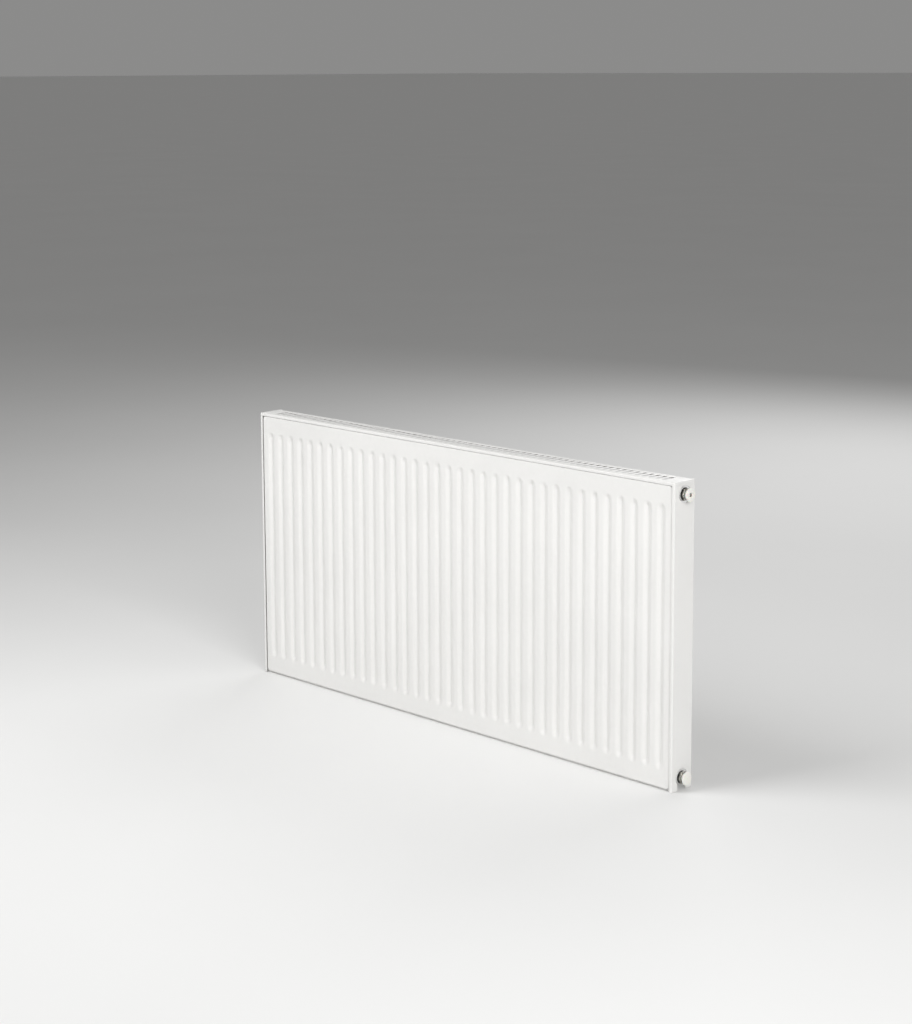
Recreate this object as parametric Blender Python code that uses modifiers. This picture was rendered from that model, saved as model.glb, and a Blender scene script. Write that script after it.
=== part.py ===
"""Steel panel radiator: one water panel, one convector, top grille and side covers.

The radiator stands upright on its lower edge. +X runs along its length, seen
from the front, -Y is the room side, +Y the wall side and +Z is up. Depths are
measured back from the front edges of the side covers.
"""
import math

import bmesh
import bpy
from mathutils import Matrix, Vector

MM = 0.001

# Overall size, over the side covers.
LENGTH = 1200.0 * MM
HEIGHT = 600.0 * MM
DEPTH = 60.0 * MM

# Gap left between pieces that touch on the real object.
SEAT_GAP = 0.3 * MM
# Radial clearance of a part that turns in or on another.
RUNNING_CLEARANCE = 0.05 * MM
# Radial gap between a male thread and its female thread, drawn as plain cylinders.
THREAD_GAP = 0.3 * MM
# Points and grid lines closer together than this count as one.
MERGE_DISTANCE = 0.01 * MM

# Water panel: two pressed sheets, welded round a seam and down every groove.
PANEL_SHEET = 1.25 * MM
GROOVE_PITCH = 100.0 * MM / 3
GROOVE_SHARPNESS = 3.0
GROOVE_END_FADE = 16.0 * MM
# Grid lines down the flank of a front groove, measured from its middle.
GROOVE_FLANK_LINES = (3.2 * MM, 7.5 * MM)
HEADER_HEIGHT = 34.0 * MM
FRONT_FACE_SETBACK = 1.5 * MM
FRONT_RISE = 5.0 * MM
REAR_RISE = 5.5 * MM
REAR_WELD_HALF_WIDTH = 4.0 * MM
REAR_WELD_FLANK = 5.0 * MM
PRESSING_ROLL = 3.5 * MM
PRESSING_CORNER = 8.0 * MM
# Grid lines across the roll, as shares of its width.
ROLL_LINES = (0.0, 0.12, 0.45, 1.0)
SEAM_WIDTH_TOP_AND_BOTTOM = 3.5 * MM
SEAM_WIDTH_SIDE = 4.3 * MM
PANEL_TOP_DROP = 3.0 * MM

# Side covers: trays that are open to the inside and at the bottom.
COVER_SHEET = 1.0 * MM
COVER_LIP = 6.5 * MM
COVER_BEND = 2.0 * MM
PANEL_TO_LIP_GAP = 0.3 * MM

# Top grille.
GRILLE_SHEET = 1.0 * MM
GRILLE_DROP = 0.5 * MM
GRILLE_LIP_HEIGHT = 6.0 * MM
GRILLE_INSET = 0.8 * MM
GRILLE_END_GAP = 0.4 * MM
GRILLE_BEND = 1.6 * MM
GRILLE_SLOT_LENGTH = 32.0 * MM
GRILLE_SLOT_WIDTH = 8.0 * MM
GRILLE_SLOT_PITCH = 50.0 * MM / 3
GRILLE_SOLID_END = 19.0 * MM
GRILLE_SLOT_OFFSET = 1.0 * MM

# Pipe tappings, one at each corner, with their axes along X.
TAPPING_FROM_TOP = 25.0 * MM
TAPPING_FROM_BOTTOM = 25.0 * MM
TAPPING_OUTER_RADIUS = 13.5 * MM
TAPPING_THREAD_RADIUS = 10.5 * MM
TAPPING_THREAD_DEPTH = 18.0 * MM
TAPPING_LENGTH = 45.0 * MM
TAPPING_END_WALL = 5.0 * MM
TAPPING_FACE_SETBACK = 1.5 * MM
WATERWAY_RADIUS = 8.0 * MM
NECK_BORE_RADIUS = 7.0 * MM
NECK_WALL = 2.5 * MM
# Grid lines either side of the hole behind a neck, as a multiple of its radius.
NECK_GRID_REACH = 1.8
COVER_HOLE_RADIUS = 17.0 * MM
COVER_SLOT_WIDTH = 24.0 * MM

# Convector sheets, folded to the pitch of the grooves.
CONVECTOR_SHEET = 0.5 * MM
CONVECTOR_FOLD_DEPTH = 37.0 * MM
CONVECTOR_FRONT_FLAT = 11.0 * MM
CONVECTOR_REAR_OPENING = 14.0 * MM
CONVECTOR_BOTTOM = 45.0 * MM
CONVECTOR_TOP_DROP = 48.0 * MM
CONVECTOR_LUG_CLEARANCE = 1.0 * MM

# Hanging lugs, welded over a groove of the rear sheet.
LUG_SHEET = 2.0 * MM
LUG_WEB_WIDTH = 25.0 * MM
LUG_FOOT = 12.0 * MM
LUG_HEIGHT = 60.0 * MM
LUG_REAR_SETBACK = 1.0 * MM
LUG_GROOVE_FROM_END = 4
LUG_LOWER_EDGE = 70.0 * MM
LUG_TOP_DROP = 70.0 * MM

# Spring clips under the grille and inside the side covers.
CLIP_SHEET = 0.6 * MM
CLIP_WIDTH = 20.0 * MM
GRILLE_CLIP_FROM_END = 150.0 * MM
CLIP_END_GAP = 0.6 * MM
COVER_CLIP_FROM_EDGE = 150.0 * MM

# Plugs in the two right-hand tappings.
PLUG_THREAD_LENGTH = 14.0 * MM
PLUG_HEX_ACROSS_FLATS = 22.0 * MM
PLUG_HEX_THICKNESS = 5.0 * MM
SEAL_WIRE_RADIUS = 0.9 * MM
SPIGOT_RADIUS = 6.0 * MM
SPIGOT_LENGTH = 6.0 * MM
HEAD_RADIUS = 13.0 * MM
HEAD_THICKNESS = 3.0 * MM
COLLAR_RADIUS = 8.5 * MM
COLLAR_END_GAP = 0.7 * MM
COLLAR_END_WALL = 2.0 * MM
COLLAR_OUTLET_RADIUS = 1.6 * MM
COLLAR_EYE_RADIUS = 3.9 * MM
CAP_END_GAP = 0.4 * MM
CAP_END_WALL = 2.0 * MM
HEAD_ROUNDING = 0.8 * MM
SPINDLE_RADIUS = 3.5 * MM
SPINDLE_LENGTH = 9.0 * MM
SPINDLE_SQUARE = 5.0 * MM
SPINDLE_SQUARE_SETBACK = 1.0 * MM
BLEED_PASSAGE_RADIUS = 1.5 * MM

# How finely round shapes are divided.
ROUND_STEPS = 32
TAPPING_STEPS = 24
SMALL_HOLE_STEPS = 12
SEAL_WIRE_STEPS = 6
BEND_SEGMENTS = 3

# Places that follow from the sizes above.
SEAM_DEPTH = FRONT_FACE_SETBACK + FRONT_RISE
REAR_SHEET_DEPTH = SEAM_DEPTH + PANEL_SHEET + SEAT_GAP
SEAM_BACK_DEPTH = REAR_SHEET_DEPTH + PANEL_SHEET
PANEL_BACK_DEPTH = SEAM_BACK_DEPTH + REAR_RISE
PANEL_HALF_WIDTH = LENGTH / 2 - COVER_LIP - PANEL_TO_LIP_GAP + SEAM_WIDTH_SIDE
PANEL_TOP = HEIGHT - PANEL_TOP_DROP
PRESSING_HALF_WIDTH = PANEL_HALF_WIDTH - SEAM_WIDTH_SIDE
PRESSING_BOTTOM = SEAM_WIDTH_TOP_AND_BOTTOM
PRESSING_TOP = PANEL_TOP - SEAM_WIDTH_TOP_AND_BOTTOM
GROOVE_BOTTOM = PRESSING_BOTTOM + HEADER_HEIGHT
GROOVE_TOP = PRESSING_TOP - HEADER_HEIGHT
MID_DEPTH = DEPTH / 2
TAPPING_HEIGHTS = {"bottom": TAPPING_FROM_BOTTOM, "top": HEIGHT - TAPPING_FROM_TOP}
TAPPING_FACE = LENGTH / 2 - TAPPING_FACE_SETBACK
SEAL_OUTER_FACE = TAPPING_FACE + SEAT_GAP + 2 * SEAL_WIRE_RADIUS
HEX_INNER_FACE = SEAL_OUTER_FACE + SEAT_GAP
HEX_OUTER_FACE = HEX_INNER_FACE + PLUG_HEX_THICKNESS
COLLAR_INNER_FACE = HEX_OUTER_FACE + SEAT_GAP
SPIGOT_END = HEX_OUTER_FACE + SPIGOT_LENGTH
COLLAR_OUTER_FACE = SPIGOT_END + COLLAR_END_GAP + COLLAR_END_WALL
PLUG_REACH = COLLAR_OUTER_FACE - LENGTH / 2

FINISHES = {
    "white_enamel": ((0.85, 0.85, 0.83, 1.0), 0.35, 0.0),
    "spring_steel": ((0.55, 0.56, 0.58, 1.0), 0.35, 1.0),
    "nickel": ((0.66, 0.64, 0.60, 1.0), 0.25, 1.0),
    "ivory_plastic": ((0.86, 0.84, 0.78, 1.0), 0.40, 0.0),
    "black_rubber": ((0.02, 0.02, 0.02, 1.0), 0.70, 0.0),
}


def clear_scene():
    """Remove the objects of the scene that the script starts in."""
    for obj in list(bpy.data.objects):
        bpy.data.objects.remove(obj, do_unlink=True)


def make_collection(name):
    """Return a new collection linked to the scene."""
    collection = bpy.data.collections.new(name)
    bpy.context.scene.collection.children.link(collection)
    return collection


def make_finish(name):
    """Return the material of one finish, made once."""
    if name in bpy.data.materials:
        return bpy.data.materials[name]
    colour, roughness, metallic = FINISHES[name]
    material = bpy.data.materials.new(name)
    material.use_nodes = True
    shader = material.node_tree.nodes["Principled BSDF"]
    shader.inputs["Base Color"].default_value = colour
    shader.inputs["Roughness"].default_value = roughness
    shader.inputs["Metallic"].default_value = metallic
    material.diffuse_color = colour
    return material


clear_scene()
PARTS = make_collection("panel_radiator")
CUTTERS = make_collection("cutters")

# The plugs stand out on the right only, so the middle of the radiator lies
# half of that reach to the left of the origin.
BODY_FRAME = bpy.data.objects.new("body_frame", None)
BODY_FRAME.location = (-PLUG_REACH / 2, 0.0, 0.0)
PARTS.objects.link(BODY_FRAME)


def behind(depth):
    """Y of a plane that lies this far behind the front edges of the side covers."""
    return depth - DEPTH / 2


def add_piece(name, mesh, finish, location=(0.0, 0.0, 0.0), rotation=(0.0, 0.0, 0.0)):
    """Link a mesh to the radiator as one named piece."""
    piece = bpy.data.objects.new(name, mesh)
    piece.location = location
    piece.rotation_euler = rotation
    piece.parent = BODY_FRAME
    if not mesh.materials:
        mesh.materials.append(make_finish(finish))
    PARTS.objects.link(piece)
    return piece


def add_cutter(name, mesh, location=(0.0, 0.0, 0.0)):
    """Link a mesh as a hidden cutter."""
    cutter = bpy.data.objects.new(name, mesh)
    cutter.location = location
    cutter.parent = BODY_FRAME
    cutter.hide_render = True
    cutter.display_type = "WIRE"
    CUTTERS.objects.link(cutter)
    return cutter


def finish_bmesh(bm, name):
    """Turn a bmesh into a mesh and free it."""
    mesh = bpy.data.meshes.new(name)
    bm.to_mesh(mesh)
    bm.free()
    return mesh


def boolean(piece, operation, tool):
    """Cut a tool from a piece, or join it to the piece."""
    modifier = piece.modifiers.new(operation.lower() + "_" + tool.name, "BOOLEAN")
    modifier.operation = operation
    modifier.object = tool


def solidify(piece, thickness):
    """Give an open surface its sheet thickness, behind its face."""
    modifier = piece.modifiers.new("sheet", "SOLIDIFY")
    modifier.thickness = thickness
    modifier.offset = -1.0
    modifier.use_even_offset = True


def bevel(piece, width, segments):
    """Round the edges of a piece that turn through more than 30 degrees."""
    modifier = piece.modifiers.new("bend", "BEVEL")
    modifier.width = width
    modifier.segments = segments
    modifier.limit_method = "ANGLE"
    modifier.angle_limit = math.radians(30.0)


def shade_round(mesh, sharp_angle=35.0):
    """Shade a mesh smooth, with its real edges kept sharp."""
    mesh.shade_smooth()
    mesh.set_sharp_from_angle(angle=math.radians(sharp_angle))


# ---------------------------------------------------------------- basic shapes


def box_mesh(name, size):
    """A box centred on its own origin."""
    bm = bmesh.new()
    bmesh.ops.create_cube(bm, size=1.0)
    bmesh.ops.scale(bm, vec=Vector(size), verts=bm.verts)
    return finish_bmesh(bm, name)


def rod_mesh(name, radius, start, end, axis="X", sides=TAPPING_STEPS):
    """A cylinder or prism along an axis, between two positions on it."""
    bm = bmesh.new()
    bmesh.ops.create_cone(
        bm, cap_ends=True, segments=sides, radius1=radius, radius2=radius, depth=end - start
    )
    bmesh.ops.translate(bm, vec=(0.0, 0.0, (start + end) / 2), verts=bm.verts)
    if axis == "X":
        bmesh.ops.rotate(bm, matrix=Matrix.Rotation(math.pi / 2, 3, "Y"), verts=bm.verts)
    elif axis == "Y":
        bmesh.ops.rotate(bm, matrix=Matrix.Rotation(-math.pi / 2, 3, "X"), verts=bm.verts)
    mesh = finish_bmesh(bm, name)
    shade_round(mesh)
    return mesh


def turned_piece(name, profile, finish, location):
    """Turn a profile of (position along X, radius) points about the X axis."""
    bm = bmesh.new()
    corners = [bm.verts.new((position, radius, 0.0)) for position, radius in profile]
    closed = profile[0][1] > 0.0 and profile[-1][1] > 0.0
    for first, second in zip(corners, corners[1:]):
        bm.edges.new((first, second))
    if closed:
        bm.edges.new((corners[-1], corners[0]))
    piece = add_piece(name, finish_bmesh(bm, name), finish, location)
    screw = piece.modifiers.new("turn", "SCREW")
    screw.axis = "X"
    screw.steps = ROUND_STEPS
    screw.render_steps = ROUND_STEPS
    screw.use_merge_vertices = True
    screw.merge_threshold = MERGE_DISTANCE
    screw.use_normal_flip = False
    screw.use_smooth_shade = True
    return piece


def extruded_strip(name, profile, start, length, axis, finish, thickness, bend=0.0):
    """A bent strip: an open profile of points in a plane, drawn out along an axis.

    The sheet lies to the right of the profile where it is drawn along X and seen
    from its +X end, and to the left where it is drawn along Z and seen from above.
    Its folds are rounded where a bend is given.
    """
    bm = bmesh.new()
    place = {
        "X": lambda a, b: Vector((start, a, b)),
        "Z": lambda a, b: Vector((a, b, start)),
    }[axis]
    corners = [bm.verts.new(place(a, b)) for a, b in profile]
    edges = [bm.edges.new(pair) for pair in zip(corners, corners[1:])]
    drawn = bmesh.ops.extrude_edge_only(bm, edges=edges)
    moved = [item for item in drawn["geom"] if isinstance(item, bmesh.types.BMVert)]
    direction = Vector((length, 0.0, 0.0)) if axis == "X" else Vector((0.0, 0.0, length))
    bmesh.ops.translate(bm, vec=direction, verts=moved)
    if axis == "Z":
        bmesh.ops.reverse_faces(bm, faces=bm.faces[:])
    piece = add_piece(name, finish_bmesh(bm, name), finish)
    if bend:
        bevel(piece, bend, BEND_SEGMENTS)
    solidify(piece, thickness)
    return piece


# ------------------------------------------------------------------ water panel


def groove_centres():
    """X of every groove: as many as leave a whole ridge at both ends."""
    ridges = int(2 * PRESSING_HALF_WIDTH / GROOVE_PITCH + 0.5)
    return [(index - ridges / 2) * GROOVE_PITCH for index in range(1, ridges)]


def ridge_centres():
    """X of every ridge that lies between two grooves or outside the last one."""
    grooves = groove_centres()
    return [grooves[0] - GROOVE_PITCH / 2] + [x + GROOVE_PITCH / 2 for x in grooves]


def lug_centres():
    """X of the grooves that carry the hanging lugs."""
    grooves = groove_centres()
    return [grooves[LUG_GROOVE_FROM_END - 1], grooves[-LUG_GROOVE_FROM_END]]


def groove_offset(x):
    """Distance from the nearest groove line."""
    return min(abs(x - centre) for centre in groove_centres())


def pressing_inset(x, z):
    """Distance inside the rounded outline of the pressing, negative outside it."""
    half_height = (PRESSING_TOP - PRESSING_BOTTOM) / 2
    across = abs(x) - (PRESSING_HALF_WIDTH - PRESSING_CORNER)
    up = abs(z - PRESSING_BOTTOM - half_height) - (half_height - PRESSING_CORNER)
    outside = math.hypot(max(across, 0.0), max(up, 0.0))
    inside = min(max(across, up), 0.0)
    return PRESSING_CORNER - outside - inside


def roll_rise(x, z):
    """How far the pressing has risen from its seam, from 0 to 1."""
    part = min(max(pressing_inset(x, z) / PRESSING_ROLL, 0.0), 1.0)
    return math.sqrt(1.0 - (1.0 - part) ** 2)


def groove_run(z):
    """How deep the grooves are at a height: 0 in the headers, 1 between them."""
    inside = min(z - GROOVE_BOTTOM, GROOVE_TOP - z)
    part = min(max(inside / GROOVE_END_FADE, 0.0), 1.0)
    return part * part * (3.0 - 2.0 * part)


def front_sheet_depth(x, z):
    """Depth of the front sheet's room side: a crowned ridge between narrow grooves."""
    offset = min(groove_offset(x), GROOVE_PITCH / 2)
    wave = (0.5 + 0.5 * math.cos(2.0 * math.pi * offset / GROOVE_PITCH)) ** GROOVE_SHARPNESS
    return SEAM_DEPTH - FRONT_RISE * roll_rise(x, z) * (1.0 - wave * groove_run(z))


def rear_sheet_depth(x, z):
    """Depth of the rear sheet's inner side: flat welds between flat-topped channels."""
    flank = (groove_offset(x) - REAR_WELD_HALF_WIDTH) / REAR_WELD_FLANK
    channel = min(max(flank, 0.0), 1.0)
    return REAR_SHEET_DEPTH + REAR_RISE * roll_rise(x, z) * (1.0 - (1.0 - channel) * groove_run(z))


def edge_lines(low, high):
    """Grid lines across the seam, the roll and the corner at both ends of a span."""
    steps = [share * PRESSING_ROLL for share in ROLL_LINES] + [PRESSING_CORNER]
    return [low + step for step in steps] + [high - step for step in reversed(steps)]


def split_faces(bm, lines, low, high):
    """Cut only the faces between two heights along vertical lines."""
    for x in lines:
        faces = [face for face in bm.faces if low < face.calc_center_median().z < high]
        edges = {edge for face in faces for edge in face.edges}
        verts = {vert for face in faces for vert in face.verts}
        bmesh.ops.bisect_plane(
            bm,
            geom=faces + list(edges) + list(verts),
            dist=MERGE_DISTANCE,
            plane_co=(x, 0.0, 0.0),
            plane_no=(1.0, 0.0, 0.0),
        )


def pressed_sheet(name, groove_lines, depth_at):
    """One pressed sheet: a flat grid, cut for its grooves, shaped by a depth and thickened."""
    columns = [-PANEL_HALF_WIDTH] + edge_lines(-PRESSING_HALF_WIDTH, PRESSING_HALF_WIDTH)
    columns.append(PANEL_HALF_WIDTH)
    rows = [0.0] + edge_lines(PRESSING_BOTTOM, PRESSING_TOP) + [PANEL_TOP]
    rows += [GROOVE_BOTTOM, GROOVE_BOTTOM + GROOVE_END_FADE]
    rows += [GROOVE_TOP, GROOVE_TOP - GROOVE_END_FADE]
    rows.sort()

    bm = bmesh.new()
    bmesh.ops.create_grid(bm, x_segments=len(columns) - 1, y_segments=len(rows) - 1, size=1.0)
    for index, vert in enumerate(bm.verts):
        vert.co = (columns[index % len(columns)], 0.0, rows[index // len(columns)])
    inner_edge = PRESSING_HALF_WIDTH - PRESSING_CORNER
    lines = {x + sign * line for x in groove_centres() for line in groove_lines for sign in (-1, 1)}
    lines = merge_close(sorted(x for x in lines if abs(x) < inner_edge))
    split_faces(bm, lines, GROOVE_BOTTOM, GROOVE_TOP)
    clear = NECK_GRID_REACH * NECK_BORE_RADIUS
    necks = [side * (neck_position() + step) for side in (-1, 1) for step in (-clear, clear)]
    split_faces(bm, necks, PRESSING_BOTTOM + PRESSING_CORNER, GROOVE_BOTTOM)
    split_faces(bm, necks, GROOVE_TOP, PRESSING_TOP - PRESSING_CORNER)
    for vert in bm.verts:
        vert.co.y = behind(depth_at(vert.co.x, vert.co.z))
    mesh = finish_bmesh(bm, name)
    shade_round(mesh, 50.0)
    piece = add_piece(name, mesh, "white_enamel")
    solidify(piece, PANEL_SHEET)
    return piece


def merge_close(lines):
    """Drop grid lines that lie too close to the last."""
    kept = [lines[0]]
    for line in lines[1:]:
        if line - kept[-1] > MERGE_DISTANCE:
            kept.append(line)
    return kept


def build_water_panel():
    """The front sheet, the rear sheet and the holes behind the tappings."""
    front_lines = (0.0, *GROOVE_FLANK_LINES, GROOVE_PITCH / 2)
    pressed_sheet("front_sheet", front_lines, front_sheet_depth)
    weld_lines = (REAR_WELD_HALF_WIDTH, REAR_WELD_HALF_WIDTH + REAR_WELD_FLANK)
    rear = pressed_sheet("rear_sheet", weld_lines, rear_sheet_depth)
    for side, direction in (("left", -1.0), ("right", 1.0)):
        for level, height in TAPPING_HEIGHTS.items():
            start = behind(SEAM_DEPTH)
            end = behind(PANEL_BACK_DEPTH + PANEL_SHEET)
            name = "water_hole_" + side + "_" + level
            mesh = rod_mesh(name, NECK_BORE_RADIUS, start, end, "Y", 16)
            place = (direction * neck_position(), 0.0, height)
            boolean(rear, "DIFFERENCE", add_cutter(mesh.name, mesh, place))
    rear.modifiers.new("flat_faces", "TRIANGULATE")


# --------------------------------------------------------------------- tappings


def neck_position():
    """Distance from the middle of the radiator to the axis of a tapping's neck."""
    return TAPPING_FACE - TAPPING_LENGTH + TAPPING_END_WALL + NECK_BORE_RADIUS + NECK_WALL


def build_tapping(side, level, height):
    """One tapping: a threaded tube with a neck that opens into the water panel."""
    inner = TAPPING_FACE - TAPPING_LENGTH
    neck_x = neck_position()
    name = "tapping_" + side + "_" + level
    place = (0.0, behind(MID_DEPTH), height)
    turn = (0.0, 0.0, 0.0) if side == "right" else (0.0, math.pi, 0.0)
    piece = add_piece(
        name, rod_mesh(name, TAPPING_OUTER_RADIUS, inner, TAPPING_FACE), "white_enamel", place, turn
    )
    neck_face = PANEL_BACK_DEPTH + SEAT_GAP - MID_DEPTH
    past = SEAT_GAP
    neck = rod_mesh(name + "_neck", NECK_BORE_RADIUS + NECK_WALL, neck_face, 0.0, "Y")
    neck.transform(Matrix.Translation((neck_x, 0.0, 0.0)))
    passage = rod_mesh(name + "_passage", NECK_BORE_RADIUS, neck_face - past, 0.0, "Y")
    passage.transform(Matrix.Translation((neck_x, 0.0, 0.0)))
    thread = rod_mesh(
        name + "_thread", TAPPING_THREAD_RADIUS, TAPPING_FACE - TAPPING_THREAD_DEPTH, TAPPING_FACE + past
    )
    core = rod_mesh(
        name + "_core", WATERWAY_RADIUS, inner + TAPPING_END_WALL, TAPPING_FACE - TAPPING_THREAD_DEPTH / 2
    )
    for operation, mesh in (
        ("UNION", neck),
        ("DIFFERENCE", thread),
        ("DIFFERENCE", core),
        ("DIFFERENCE", passage),
    ):
        tool = add_cutter(mesh.name, mesh, place)
        tool.rotation_euler = turn
        boolean(piece, operation, tool)


def build_tappings():
    """The four corner tappings."""
    for side in ("left", "right"):
        for level, height in TAPPING_HEIGHTS.items():
            build_tapping(side, level, height)


# ------------------------------------------------------------ convector and lugs


def convector_profile(ridges):
    """Plan of one convector sheet: flats on the ridges and deep folds between them."""
    front = behind(PANEL_BACK_DEPTH + SEAT_GAP)
    rear = front + CONVECTOR_FOLD_DEPTH
    half_flat = CONVECTOR_FRONT_FLAT / 2
    half_open = CONVECTOR_REAR_OPENING / 2
    points = []
    for ridge in ridges:
        points.append((ridge - half_open, rear))
        points.append((ridge - half_flat, front))
        points.append((ridge + half_flat, front))
        points.append((ridge + half_open, rear))
    return points


def build_convectors():
    """Three convector sheets, parted where the hanging lugs stand."""
    clear = GROOVE_PITCH / 2 + CONVECTOR_LUG_CLEARANCE
    left_lug, right_lug = lug_centres()
    spans = {
        "convector_left": (-LENGTH, left_lug - clear),
        "convector_middle": (left_lug + clear, right_lug - clear),
        "convector_right": (right_lug + clear, LENGTH),
    }
    height = HEIGHT - CONVECTOR_TOP_DROP - CONVECTOR_BOTTOM
    for name, (low, high) in spans.items():
        ridges = [x for x in ridge_centres() if low < x < high]
        extruded_strip(
            name,
            convector_profile(ridges),
            CONVECTOR_BOTTOM,
            height,
            "Z",
            "white_enamel",
            CONVECTOR_SHEET,
        )


def build_lugs():
    """Four hat-shaped lugs that wall brackets hook into."""
    foot = behind(PANEL_BACK_DEPTH + SEAT_GAP)
    web = behind(DEPTH - LUG_REAR_SETBACK)
    half = LUG_WEB_WIDTH / 2
    heights = {"lower": LUG_LOWER_EDGE, "upper": HEIGHT - LUG_TOP_DROP - LUG_HEIGHT}
    for side, centre in zip(("left", "right"), lug_centres()):
        for level, bottom in heights.items():
            profile = [
                (centre + half + LUG_FOOT, foot + LUG_SHEET),
                (centre + half, foot + LUG_SHEET),
                (centre + half, web),
                (centre - half, web),
                (centre - half, foot + LUG_SHEET),
                (centre - half - LUG_FOOT, foot + LUG_SHEET),
            ]
            name = "hanging_lug_" + side + "_" + level
            extruded_strip(name, profile, bottom, LUG_HEIGHT, "Z", "white_enamel", LUG_SHEET)


# --------------------------------------------------------- grille and side covers


def grille_slots_mesh(length):
    """One cutter that holds every slot of the grille."""
    count = int((length - 2 * GRILLE_SOLID_END) / GRILLE_SLOT_PITCH)
    bm = bmesh.new()
    for index in range(count):
        x = (index - (count - 1) / 2) * GRILLE_SLOT_PITCH
        slot = bmesh.ops.create_cube(bm, size=1.0)["verts"]
        bmesh.ops.scale(bm, vec=(GRILLE_SLOT_WIDTH, GRILLE_SLOT_LENGTH, 4 * GRILLE_SHEET), verts=slot)
        bmesh.ops.translate(bm, vec=(x, 0.0, 0.0), verts=slot)
    return finish_bmesh(bm, "grille_slots")


def build_grille():
    """The slotted top grille, with a lip down its front and its back."""
    half = LENGTH / 2 - COVER_LIP - GRILLE_END_GAP
    top = HEIGHT - GRILLE_DROP
    front = behind(GRILLE_INSET)
    back = behind(DEPTH - GRILLE_INSET)
    profile = [
        (front, top - GRILLE_LIP_HEIGHT),
        (front, top),
        (back, top),
        (back, top - GRILLE_LIP_HEIGHT),
    ]
    grille = extruded_strip(
        "top_grille", profile, -half, 2 * half, "X", "white_enamel", GRILLE_SHEET, GRILLE_BEND
    )
    slots = add_cutter("grille_slots", grille_slots_mesh(2 * half), (0.0, GRILLE_SLOT_OFFSET, top))
    boolean(grille, "DIFFERENCE", slots)


def build_side_cover(side, direction):
    """A side cover: a tray with a round hole at the top and a keyhole below."""
    bm = bmesh.new()
    bmesh.ops.create_cube(bm, size=1.0)
    bmesh.ops.scale(bm, vec=(COVER_LIP, DEPTH, HEIGHT), verts=bm.verts)
    middle = direction * (LENGTH / 2 - COVER_LIP / 2)
    bmesh.ops.translate(bm, vec=(middle, 0.0, HEIGHT / 2), verts=bm.verts)
    bm.faces.ensure_lookup_table()
    open_faces = [face for face in bm.faces if face.normal.x * direction < -0.5 or face.normal.z < -0.5]
    bmesh.ops.delete(bm, geom=open_faces, context="FACES")
    name = "side_cover_" + side
    cover = add_piece(name, finish_bmesh(bm, name), "white_enamel")
    bevel(cover, COVER_BEND, BEND_SEGMENTS)
    solidify(cover, COVER_SHEET)

    start = direction * LENGTH / 2 - 2 * COVER_SHEET
    end = direction * LENGTH / 2 + 2 * COVER_SHEET
    for level, height in TAPPING_HEIGHTS.items():
        mesh = rod_mesh(name + "_hole_" + level, COVER_HOLE_RADIUS, start, end)
        boolean(cover, "DIFFERENCE", add_cutter(mesh.name, mesh, (0.0, 0.0, height)))
    slot_height = TAPPING_FROM_BOTTOM + 2 * COVER_SHEET
    slot = box_mesh(name + "_slot", (4 * COVER_SHEET, COVER_SLOT_WIDTH, slot_height))
    slot_z = TAPPING_FROM_BOTTOM - slot_height / 2
    boolean(cover, "DIFFERENCE", add_cutter(slot.name, slot, (direction * LENGTH / 2, 0.0, slot_z)))


def build_grille_clips():
    """Spring clips under the grille that grip the top seam of the water panel."""
    roof = HEIGHT - GRILLE_DROP - GRILLE_SHEET - SEAT_GAP
    front = behind(SEAM_DEPTH - SEAT_GAP - CLIP_SHEET)
    back = behind(SEAM_BACK_DEPTH + SEAT_GAP + CLIP_SHEET)
    leg_end = PRESSING_TOP + PANEL_SHEET + CLIP_END_GAP
    profile = [(front, leg_end), (front, roof), (back, roof), (back, leg_end)]
    outer = LENGTH / 2 - GRILLE_CLIP_FROM_END
    for index, centre in enumerate((-outer, -outer / 3, outer / 3, outer), start=1):
        start = centre - CLIP_WIDTH / 2
        name = "grille_clip_" + str(index)
        extruded_strip(name, profile, start, CLIP_WIDTH, "X", "spring_steel", CLIP_SHEET)


def build_cover_clips():
    """Spring clips in the side covers that grip the side seams of the water panel."""
    web = LENGTH / 2 - COVER_SHEET - SEAT_GAP
    front = behind(SEAM_DEPTH - SEAT_GAP - CLIP_SHEET)
    back = behind(SEAM_BACK_DEPTH + SEAT_GAP + CLIP_SHEET)
    leg_end = PRESSING_HALF_WIDTH + PANEL_SHEET + CLIP_END_GAP
    heights = {"lower": COVER_CLIP_FROM_EDGE, "upper": HEIGHT - COVER_CLIP_FROM_EDGE}
    for side, direction in (("left", -1.0), ("right", 1.0)):
        profile = [
            (direction * leg_end, front),
            (direction * web, front),
            (direction * web, back),
            (direction * leg_end, back),
        ]
        if direction < 0:
            profile.reverse()
        for level, centre in heights.items():
            name = "cover_clip_" + side + "_" + level
            start = centre - CLIP_WIDTH / 2
            extruded_strip(name, profile, start, CLIP_WIDTH, "Z", "spring_steel", CLIP_SHEET)


# ------------------------------------------------------------------------- plugs


def plug_place(level):
    """Where the axis of a right-hand plug crosses the middle plane."""
    return (0.0, behind(MID_DEPTH), TAPPING_HEIGHTS[level])


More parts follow.
